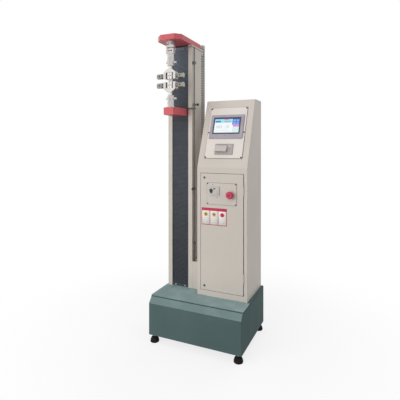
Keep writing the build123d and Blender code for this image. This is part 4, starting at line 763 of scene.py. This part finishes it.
# A dowel in the middle of each jaw's face
DOWEL = [(-0.0004, 0.0026), (0.0003, 0.0026), (0.0005, 0.0022), (0.0002, 0.0014), (0.0002, 0)]
for jaw in jaws:
    jaw_low, jaw_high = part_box(jaw)
    dowel = Shape()
    dowel.turned(DOWEL, ((jaw_low.x + jaw_high.x) / 2, jaw_low.y, (jaw_low.z + jaw_high.z) / 2), FORWARD, 20)
    dowel.piece(f"{jaw}_dowel", blackened_steel, "dark_steel", jaw)

# Screws of the switch plate and of the cabinet's back panel
PLATE_INSET = 0.0044
BACK_INSET = 0.006
BACK_ROWS = 5


def along_edges(low, high, y, inset, rows):
    """Places for screws along the left and right edges of an upright plate."""
    rise = high.z - low.z - 2 * inset
    return [(x, y, low.z + inset + rise * row / (rows - 1))
            for x in (low.x + inset, high.x - inset) for row in range(rows)]


plate_low, plate_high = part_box("switch_plate")
plate_places = along_edges(plate_low, plate_high, plate_low.y, PLATE_INSET, 2)
drive_screws("switch_plate_screws", plate_places, FORWARD, "door")
back_low, back_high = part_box("cabinet_back_panel")
back_places = along_edges(back_low, back_high, back_high.y, BACK_INSET, BACK_ROWS)
drive_screws("back_panel_screws", back_places, BACKWARD)

# Feet: locking nuts and threaded studs, in the place of the frame's plain fasteners, over moulded pads
FOOT_X, FOOT_Y = 0.245, 0.185
FOOT_PAD_TOP, FOOT_TOP = 0.034, 0.045
FOOT_NUT = [(0, 0.0088), (0.0009, 0.0095), (0.0101, 0.0095), (0.011, 0.0088)]
STUD_CREST, STUD_ROOT, STUD_HALF_PITCH = 0.006, 0.0054, 0.0015
FOOT_STUD = [(STUD_HALF_PITCH * step, STUD_CREST if step % 2 else STUD_ROOT) for step in range(26)]
FOOT_PAD = [(0, 0.0215), (0.0012, 0.0235), (0.004, 0.0245), (0.0085, 0.0245), (0.0095, 0.0238),
            (0.0105, 0.0241), (0.0165, 0.0226), (0.022, 0.0202), (0.027, 0.0168), (0.031, 0.013),
            (0.0333, 0.0106), (0.034, 0.0098)]
foot_studs = Shape()
feet = Shape()
for x in (-FOOT_X, FOOT_X):
    for y in (-FOOT_Y, FOOT_Y):
        foot_studs.turned(FOOT_NUT, (x, y, FOOT_PAD_TOP), UP, 36, flats=6)
        foot_studs.turned(FOOT_STUD, (x, y, FOOT_TOP), UP, 20)
        feet.turned(FOOT_PAD, (x, y, 0), UP, 40)
foot_studs.piece("foot_studs", bright_steel, "bright_steel", stands_for=("frame_fasteners",))
feet.piece("levelling_feet", foot_rubber, "foot_rubber", stands_for=("foot_pads",), sharp=0.9)

# Socket screws of the cap, and the screws of the bellows' ends
CAP_SCREW_FOOT = 1.703
CAP_SCREW = [(0, 0.0065), (0.0072, 0.0065), (0.008, 0.0058), (0.008, 0.0036), (0.004, 0.003), (0.0036, 0)]
cap_screws = Shape()
for x in (-0.238, -0.122):
    for y in (0.014, 0.1):
        cap_screws.turned(CAP_SCREW, (x, y, CAP_SCREW_FOOT), UP)
cap_screws.piece("cap_screws", blackened_steel, "dark_steel")

BELLOWS_SCREWS = (-0.211, -0.149)
BELLOWS_HEAD_SIZE = 1.06
drive_screws("bellows_head_screws", [(x, bellows_front, 1.665) for x in BELLOWS_SCREWS], FORWARD,
             size=BELLOWS_HEAD_SIZE)
drive_screws("bellows_foot_screws", [(x, bellows_front, 0.262) for x in BELLOWS_SCREWS], FORWARD,
             size=BELLOWS_HEAD_SIZE, finish=jaw_steel, slot="bright_steel")

# The upper bellows' end flange in front of the column's head, and the dark joint under that head
HEAD_FOOT = 1.672
FLANGE_LEFT, FLANGE_RIGHT = -0.2325, -0.1275
FLANGE_SCREW = [(0, 0.003), (0.0009, 0.003), (0.0014, 0.0022), (0.0014, 0.0012), (0.0006, 0)]
JOINT_LOW, JOINT_HIGH, JOINT_RISE = HEAD_FOOT - 0.003, HEAD_FOOT - 0.0004, 0.0005
column_low, column_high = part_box("column_frame")
flange_front = column_low.y - 0.001
flange = Shape()
flange.slab((FLANGE_LEFT, HEAD_FOOT + 0.0002), (FLANGE_RIGHT, column_high.z - 0.0002),
            flange_front, column_low.y - 0.0001, 0.0003)
for x in (-0.218, -0.142):
    flange.turned(FLANGE_SCREW, (x, flange_front, HEAD_FOOT + 0.005), FORWARD, 20)
flange.piece("bellows_head_flange", flange_dark, "dark_steel")
head_joint = Shape()
for left, right in ((column_low.x - JOINT_RISE, FLANGE_LEFT), (FLANGE_RIGHT, column_high.x + JOINT_RISE)):
    head_joint.slab((left, JOINT_LOW), (right, JOINT_HIGH),
                    column_low.y - JOINT_RISE, column_low.y + 0.001, 0.0002)
for side in (column_low.x, column_high.x):
    head_joint.slab((side - JOINT_RISE, JOINT_LOW), (side + JOINT_RISE, JOINT_HIGH),
                    column_low.y, column_high.y - 0.001, 0.0002)
head_joint.piece("head_joint", foot_rubber, "foot_rubber")

# The wiring duct's slotted flange, which wraps round the column's right rear edge
SLOT_PITCH, SLOT_OPEN = 0.015, 0.008
LADDER_FOOT, LADDER_STEPS = 0.28, 92
LADDER_HEAD = LADDER_FOOT + LADDER_STEPS * SLOT_PITCH
LADDER_RAILS = ((0.1235, 0.1258), (0.1446, 0.149))
RUNG_FRONT, RUNG_BACK = 0.1254, 0.145
LINING_FRONT, LINING_BACK = 0.125, 0.147
ladder_inside = column_high.x + 0.0003
ladder_outside = column_high.x + 0.0013
ladder = Shape()
for near, far in LADDER_RAILS:
    ladder.slab((ladder_inside, LADDER_FOOT), (ladder_outside, LADDER_HEAD), near, far, 0.0002)
ladder.slabs(LADDER_STEPS, (0, SLOT_PITCH), (ladder_inside, LADDER_FOOT),
             (ladder_outside, LADDER_FOOT + SLOT_PITCH - SLOT_OPEN), RUNG_FRONT, RUNG_BACK)
ladder.piece("duct_flange", duct_plastic, "duct_plastic")
lining = Shape()
lining.slab((column_high.x - 0.0005, LADDER_FOOT + 0.001), (ladder_inside, LADDER_HEAD - 0.009),
            LINING_FRONT, LINING_BACK, 0.0002)
lining.piece("duct_flange_lining", black_plastic, "black_plastic")

# Console panel: its six screws
PANEL_SCREW_X = 0.1052
PANEL_SCREW_ROWS = (0.0593, 0.208, 0.3567)
PANEL_FRONT = 0.003
panel_places = [(x, y, PANEL_FRONT) for x in (-PANEL_SCREW_X, PANEL_SCREW_X) for y in PANEL_SCREW_ROWS]
drive_screws("panel_screws", panel_places, UP, seat=slope, size=1.25)

# Door hinges: two fixed knuckles with a leaf each, above and below each of the door's own
HINGE_X, HINGE_Y = 0.2355, -0.0625
HINGE_HEIGHTS = (0.377, 0.848)
HINGE_INNER, HINGE_OUTER = 0.0153, 0.0293
HINGE_RADIUS = 0.0034
HINGE_LEAF_END, HINGE_LEAF_HALF = 0.24, 0.001
KNUCKLE = [(HINGE_INNER, 0.003), (HINGE_INNER + 0.0005, HINGE_RADIUS), (HINGE_OUTER - 0.0008, HINGE_RADIUS),
           (HINGE_OUTER, 0.0024), (HINGE_OUTER + 0.0006, 0)]
hinges = Shape()
for height in HINGE_HEIGHTS:
    for way in (-1, 1):
        hinges.turned(KNUCKLE, (HINGE_X, HINGE_Y, height), (0, 0, way))
        foot, head = sorted((height + way * HINGE_INNER, height + way * HINGE_OUTER))
        hinges.slab((HINGE_X, foot), (HINGE_LEAF_END, head),
                    HINGE_Y - HINGE_LEAF_HALF, HINGE_Y + HINGE_LEAF_HALF, 0.0003)
hinges.piece("door_hinges", machine_beige, "machine_beige_paint")

# A folded rebate behind the door's hinge gap: its floor, its outer wall, and strips between the hinges
REBATE_FOOT, REBATE_HEAD = 0.283, 0.942
REBATE_LEFT, REBATE_WALL, REBATE_RIGHT = 0.2325, 0.2435, 0.2455
REBATE_LIP, REBATE_FLOOR, REBATE_BACK = -0.0635, -0.056, -0.0545
STRIP_LEFT, STRIP_RIGHT, STRIP_FRONT = 0.235, 0.2402, -0.0652
DOOR_FOOT, DOOR_HEAD, HINGE_ROOM = 0.285, 0.94, 0.032
rebate = Shape()
rebate.slab((REBATE_LEFT, REBATE_FOOT), (REBATE_RIGHT, REBATE_HEAD), REBATE_FLOOR, REBATE_BACK, 0.0004)
rebate.slab((REBATE_WALL, REBATE_FOOT), (REBATE_RIGHT, REBATE_HEAD), REBATE_LIP, REBATE_BACK, 0.0004)
rooms = [height + way * HINGE_ROOM for height in HINGE_HEIGHTS for way in (-1, 1)]
stops = [DOOR_FOOT, *rooms, DOOR_HEAD]
for foot, head in zip(stops[::2], stops[1::2]):
    rebate.slab((STRIP_LEFT, foot), (STRIP_RIGHT, head), STRIP_FRONT, REBATE_FLOOR, 0.0005)
rebate.piece("door_rebate", machine_beige, "machine_beige_paint")

# Dark sealing strips round the console panel, the switch plate and under the base's top plate
PANEL_SIDE, PANEL_FOOT, PANEL_HEAD = 0.1105, 0.054, 0.362
SEAL = 0.0011
SEAL_EDGE = 0.0002


def seal_ring(shape, left, foot, right, head, back, front):
    """A flat rubber ring that shows as a thin line round a plate."""
    for height in (foot, head):
        shape.block((left - SEAL, height - SEAL, back), (right + SEAL, height + SEAL, front), SEAL_EDGE)
    for side in (left, right):
        shape.block((side - SEAL, foot + SEAL, back), (side + SEAL, head - SEAL, front), SEAL_EDGE)


panel_seal = Shape(slope)
seal_ring(panel_seal, -PANEL_SIDE, PANEL_FOOT, PANEL_SIDE, PANEL_HEAD, 0.0002, 0.0025)
panel_seal.piece("console_seal", foot_rubber, "foot_rubber")
upright_plate = Matrix.Rotation(math.pi / 2, 4, "X")
plate_seal = Shape(Matrix.Translation((0, plate_high.y, 0)) @ upright_plate)
seal_ring(plate_seal, plate_low.x, plate_low.z, plate_high.x, plate_high.z, 0.0001, 0.0009)
plate_seal.piece("switch_plate_seal", foot_rubber, "foot_rubber", "door")
top_low, top_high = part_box("base_top_plate")
base_seal = Shape()
base_seal.slab((top_low.x + 0.005, top_low.z - 0.0006), (top_high.x - 0.005, top_low.z + 0.0014),
               top_low.y - 0.0004, top_low.y + 0.003, 0.0003)
for side in (top_low.x, top_high.x):
    base_seal.slab((side - 0.0004, top_low.z - 0.0004), (side + 0.0004, top_low.z + 0.0008),
                   top_low.y + 0.005, top_high.y - 0.006, SEAL_EDGE)
base_seal.piece("base_seal", foot_rubber, "foot_rubber")

# Breaker face: two small fixing screws, a raised field with a rib, and dark keys beside the lever
BREAKER_SCREWS = ((0.056, 0.875), (0.082, 0.806))
TEST_KEY = [(0, 0.0022), (0.0011, 0.0022), (0.0014, 0.0016), (0.0015, 0)]
LEVER_STOP_PITCH = 0.0234
breaker_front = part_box("door_switches")[0].y
field_front = breaker_front - 0.0008
breaker_back = breaker_front + 0.001
drive_screws("breaker_screws", [(x, plate_low.y, z) for x, z in BREAKER_SCREWS], FORWARD, "door", size=0.62)
breaker_face = Shape()
breaker_face.slab((0.0585, 0.8205), (0.0935, 0.8625), field_front, breaker_back, 0.0006)
breaker_face.slab((0.0615, 0.845), (0.0905, 0.8465), breaker_front - 0.0012, breaker_front, 0.0002)
breaker_face.piece("breaker_face", module_casing, "module_casing", "door")
breaker_keys = Shape()
breaker_keys.turned(TEST_KEY, (0.087, field_front, 0.829), FORWARD, 20)
breaker_keys.slab((0.063, 0.852), (0.073, 0.858), breaker_front - 0.0013, breaker_front, 0.0003)
breaker_keys.slabs(2, (0, LEVER_STOP_PITCH), (0.042, 0.8287), (0.055, 0.8309),
                   breaker_front - 0.0006, breaker_back, 0.0003)
breaker_keys.piece("breaker_keys", black_plastic, "black_plastic", "door")

# A ruled, unwritten record card on the door: three fields under a band, each with a plain disc
CARD_LEFT, CARD_RIGHT = -0.012, 0.138
CARD_FOOT, CARD_HEAD = 0.652, 0.747
CARD_BAND = 0.016
CARD_BORDER = 0.0034
CARD_FIELDS = 3
RULES, RULE_PITCH, RULE_INSET, RULE_HEIGHT = 5, 0.0115, 0.004, 0.0007
DISC_HEIGHT = 0.711
DISC = [(0, 0.0115), (0.0003, 0.0113), (0.0004, 0)]
DISC_CORE = [(0, 0.0052), (0.0006, 0.005), (0.0007, 0)]
door_front = cabinet_low.y
card = Shape()
card.slab((CARD_LEFT, CARD_FOOT), (CARD_RIGHT, CARD_HEAD), door_front - 0.0004, door_front, 0.0001)
card.piece("record_card", card_rose, body="door")
field_width = (CARD_RIGHT - CARD_LEFT - 4 * CARD_BORDER) / CARD_FIELDS
card_looks = {"fields": card_white, "rules": card_line, "discs": card_ochre, "cores": card_slate,
              "marks": card_rose}
on_card = {name: Shape() for name in card_looks}
for number in range(CARD_FIELDS):
    left = CARD_LEFT + CARD_BORDER + number * (field_width + CARD_BORDER)
    on_card["fields"].slab((left, CARD_FOOT + CARD_BORDER), (left + field_width, CARD_HEAD - CARD_BAND),
                           door_front - 0.0006, door_front - 0.0003, 0.0001)
    foot = CARD_FOOT + CARD_BORDER + RULE_PITCH
    on_card["rules"].slabs(RULES, (0, RULE_PITCH), (left + RULE_INSET, foot),
                           (left + field_width - RULE_INSET, foot + RULE_HEIGHT),
                           door_front - 0.0007, door_front - 0.0005)
    middle = (left + field_width / 2, door_front - 0.0005, DISC_HEIGHT)
    is_last = number == CARD_FIELDS - 1
    on_card["marks" if is_last else "discs"].turned(DISC, middle, FORWARD)
    on_card["marks" if is_last else "cores"].turned(DISC_CORE, middle, FORWARD)
for name, shape in on_card.items():
    shape.piece(f"record_card_{name}", card_looks[name], body="door")

# Stop button: a rose ring on its face, and a small lamp beside it
STOP_X, STOP_Z = 0.161, 0.8245
STOP_RING = [(-0.0004, 0.0134), (0.0006, 0.013), (0.0008, 0.0118), (0.0006, 0.0106), (-0.0004, 0.0102)]
STOP_LAMP = [(0, 0.003), (0.0006, 0.003), (0.0009, 0.0024), (0.0018, 0.0018), (0.0022, 0)]
stop_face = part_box("estop_button")[0].y
stop_ring = Shape()
stop_ring.turned(STOP_RING, (STOP_X, stop_face, STOP_Z), FORWARD, 40)
stop_ring.piece("stop_ring", stop_rose, "stop_red_plastic", "estop_button")
stop_lamp = Shape()
stop_lamp.turned(STOP_LAMP, (0.135, plate_low.y, 0.8275), FORWARD, 24)
stop_lamp.piece("stop_lamp", stop_rose, "stop_red_plastic", "door")

# Electrical modules, which show when the door stands open: a drive with fins, a window and plugs, a power
# supply with vents and screw terminals, and a board with chips, capacitors and terminals
DRIVE_FRONT, SUPPLY_FRONT, BOARD_FRONT = 0.055, 0.165, 0.175
FIN_START, FIN_PITCH, FIN_THICKNESS = 0.064, 0.0125, 0.0035
VENT_PITCH, PLUG_PITCH = 0.013, 0.006
CHIPS = ((0.03, 0.47, 0.028, 0.028), (0.078, 0.455, 0.018, 0.018), (0.082, 0.492, 0.03, 0.01))
CAPACITORS = ((0.02, 0.445), (0.034, 0.445), (0.108, 0.445), (0.118, 0.47))
CAPACITOR = [(0, 0.0048), (0.01, 0.0048), (0.011, 0.0042), (0.0112, 0)]
TERMINAL_SCREW = [(0, 0.003), (0.0008, 0.003), (0.0012, 0.0022), (0.0013, 0)]
SUPPLY_TERMINALS, SUPPLY_PITCH = 9, 0.01
BOARD_TERMINALS, BOARD_PITCH = 10, 0.0105
terminal_front = SUPPLY_FRONT - 0.012
board_face = BOARD_FRONT - 0.0012
cooling = Shape()
for number in range(11):
    depth = FIN_START + FIN_PITCH * number
    cooling.slab((0.0005, 0.565), (0.0072, 0.725), depth, depth + FIN_THICKNESS, 0.0006)
cooling.piece("drive_cooling_fins", pulley_aluminium, "pulley_aluminium")
windows = Shape()
windows.slab((0.014, 0.69), (0.06, 0.722), DRIVE_FRONT - 0.0012, DRIVE_FRONT + 0.001, 0.0008)
windows.slabs(7, (0, VENT_PITCH), (0.108, 0.635), (0.186, 0.64),
              SUPPLY_FRONT - 0.0004, SUPPLY_FRONT + 0.001, 0.0002)
for x, z, width, height in CHIPS:
    windows.slab((x, z), (x + width, z + height), BOARD_FRONT - 0.0046, BOARD_FRONT - 0.0014, 0.0004)
windows.piece("module_windows", black_plastic, "black_plastic")
board = Shape()
board.slab((0.01, 0.408), (0.129, 0.522), BOARD_FRONT - 0.0016, BOARD_FRONT, 0.0003)
board.slabs(8, (PLUG_PITCH, 0), (0.014, 0.562), (0.0192, 0.576), DRIVE_FRONT - 0.01, DRIVE_FRONT, 0.0005)
board.piece("module_board", board_green, "module_casing")
terminals = Shape()
terminals.slabs(SUPPLY_TERMINALS, (SUPPLY_PITCH, 0), (0.102, 0.59), (0.1108, 0.604),
                terminal_front, SUPPLY_FRONT, 0.0008)
terminals.slabs(BOARD_TERMINALS, (BOARD_PITCH, 0), (0.016, 0.411), (0.0254, 0.424),
                BOARD_FRONT - 0.0125, board_face, 0.0006)
terminals.piece("module_terminals", printer_light, "module_casing")
module_metal = Shape()
for number in range(SUPPLY_TERMINALS):
    x = 0.1064 + SUPPLY_PITCH * number
    module_metal.turned(TERMINAL_SCREW, (x, terminal_front, 0.597), FORWARD, 16)
for x, z in CAPACITORS:
    module_metal.turned(CAPACITOR, (x, board_face, z), FORWARD, 20)
module_metal.piece("module_metal", bright_steel, "bright_steel")

# Mains inlet: three flat pins in the socket
INLET_X, INLET_Z = 0.1675, 0.321
PIN_PLACES = ((-0.007, -0.002), (0.0, 0.002), (0.007, -0.002))
PIN_HALF_WIDTH, PIN_HALF_HEIGHT, PIN_FRONT, PIN_BACK = 0.001, 0.002, 0.189, 0.2035
pins = Shape()
for x, z in PIN_PLACES:
    pins.slab((INLET_X + x - PIN_HALF_WIDTH, INLET_Z + z - PIN_HALF_HEIGHT),
              (INLET_X + x + PIN_HALF_WIDTH, INLET_Z + z + PIN_HALF_HEIGHT), PIN_FRONT, PIN_BACK, 0.0004)
pins.piece("inlet_pins", brass_plate, "bright_steel")

# Soft studio light: a key from the front left, a weak fill from the right, one from behind, one from above,
# and a small rim light from the left
machine_middle = Vector((0, 0, 0.9))


def soft_lamp(name, place, size, power, mirrored=True):
    """A square area lamp aimed at the machine's middle; one that isn't mirrored leaves no image in steel."""
    data = bpy.data.lights.new(name, "AREA")
    data.shape = "SQUARE"
    data.size = size
    data.energy = power
    lamp = bpy.data.objects.new(name, data)
    lamp.location = place
    lamp.visible_glossy = mirrored
    lamp.rotation_euler = (machine_middle - Vector(place)).to_track_quat("-Z", "Y").to_euler()
    scene.collection.objects.link(lamp)


soft_lamp("key_lamp", (-1.4, -3.1, 1.6), 3.2, 84.0, False)
soft_lamp("fill_lamp", (3.0, -1.4, 1.6), 3.2, 17.0, False)
soft_lamp("back_lamp", (0.9, 3.2, 2.0), 2.6, 40.0, False)
soft_lamp("top_lamp", (0.2, -0.4, 3.6), 2.6, 15.0)
soft_lamp("rim_lamp", (-3.2, -0.9, 1.7), 1.3, 7.0)

# A white room: the world and the floor show white, and light the machine weakly
ROOM_FILL = 0.4
FLOOR_HALF = 30.0
FLOOR_NEAR = 0.5
FLOOR_FAR = 1.5
FLOOR_WHITE = 0.78
WHITE = (1.0, 1.0, 1.0, 1.0)
FLOOR_LIGHT = (0.38, 0.38, 0.38, 1.0)
FLOOR_SHOWN = (0.94, 0.94, 0.94, 1.0)
world = bpy.data.worlds.new("white_room")
scene.world = world
room = Finish(world)


def seen_ray(finish):
    """1 for rays from the camera and for what metal and glass show, else 0."""
    kinds = [finish.node("LightPath", {}, ray)
             for ray in ("Is Camera Ray", "Is Glossy Ray", "Is Transmission Ray")]
    return (kinds[0] + kinds[1] + kinds[2]) > 0.5


level = ROOM_FILL + (1 - ROOM_FILL) * seen_ray(room)
backdrop = room.node("Background", {"Color": WHITE, "Strength": level})
room.node("OutputWorld", {"Surface": backdrop})

floor_look, floor_place = new_finish("studio_floor")
distance = floor_look.node("VectorMath", {0: floor_place}, "Value", operation="LENGTH")
shown = seen_ray(floor_look)
whitened = FLOOR_WHITE + (1 - FLOOR_WHITE) * floor_look.between(distance, FLOOR_NEAR, FLOOR_FAR)
floor_colour = floor_look.tint(shown, FLOOR_LIGHT, FLOOR_SHOWN)
matt = floor_look.node("BsdfDiffuse", {"Color": floor_colour})
white = floor_look.node("Emission", {"Color": WHITE, "Strength": 1.0})
mixed = floor_look.node("MixShader", {0: whitened * shown, 1: matt, 2: white})
floor_look.node("OutputMaterial", {"Surface": mixed})
bpy.ops.mesh.primitive_plane_add(size=2 * FLOOR_HALF, location=(0, 0, 0))
floor = bpy.context.object
floor.name = "studio_floor"
floor.data.materials.append(floor_look.owner)

# Camera, held by the floor through a mount that gives it its rise
camera_data = bpy.data.cameras.new("camera")
camera_data.lens = CAMERA_LENS
camera = bpy.data.objects.new("camera", camera_data)
camera.location = CAMERA_PLACE
camera.rotation_euler = (math.pi / 2 - CAMERA_DIP, 0, CAMERA_TURN)
level_mount = Matrix.LocRotScale(camera.location, camera.rotation_euler, None)
slant = Matrix.Identity(4)
slant[1][2] = CAMERA_RISE
camera.parent = floor
camera.matrix_parent_inverse = level_mount @ slant @ level_mount.inverted()
scene.collection.objects.link(camera)
scene.camera = camera

scene.view_settings.view_transform = "Standard"

bpy.context.view_layer.update()
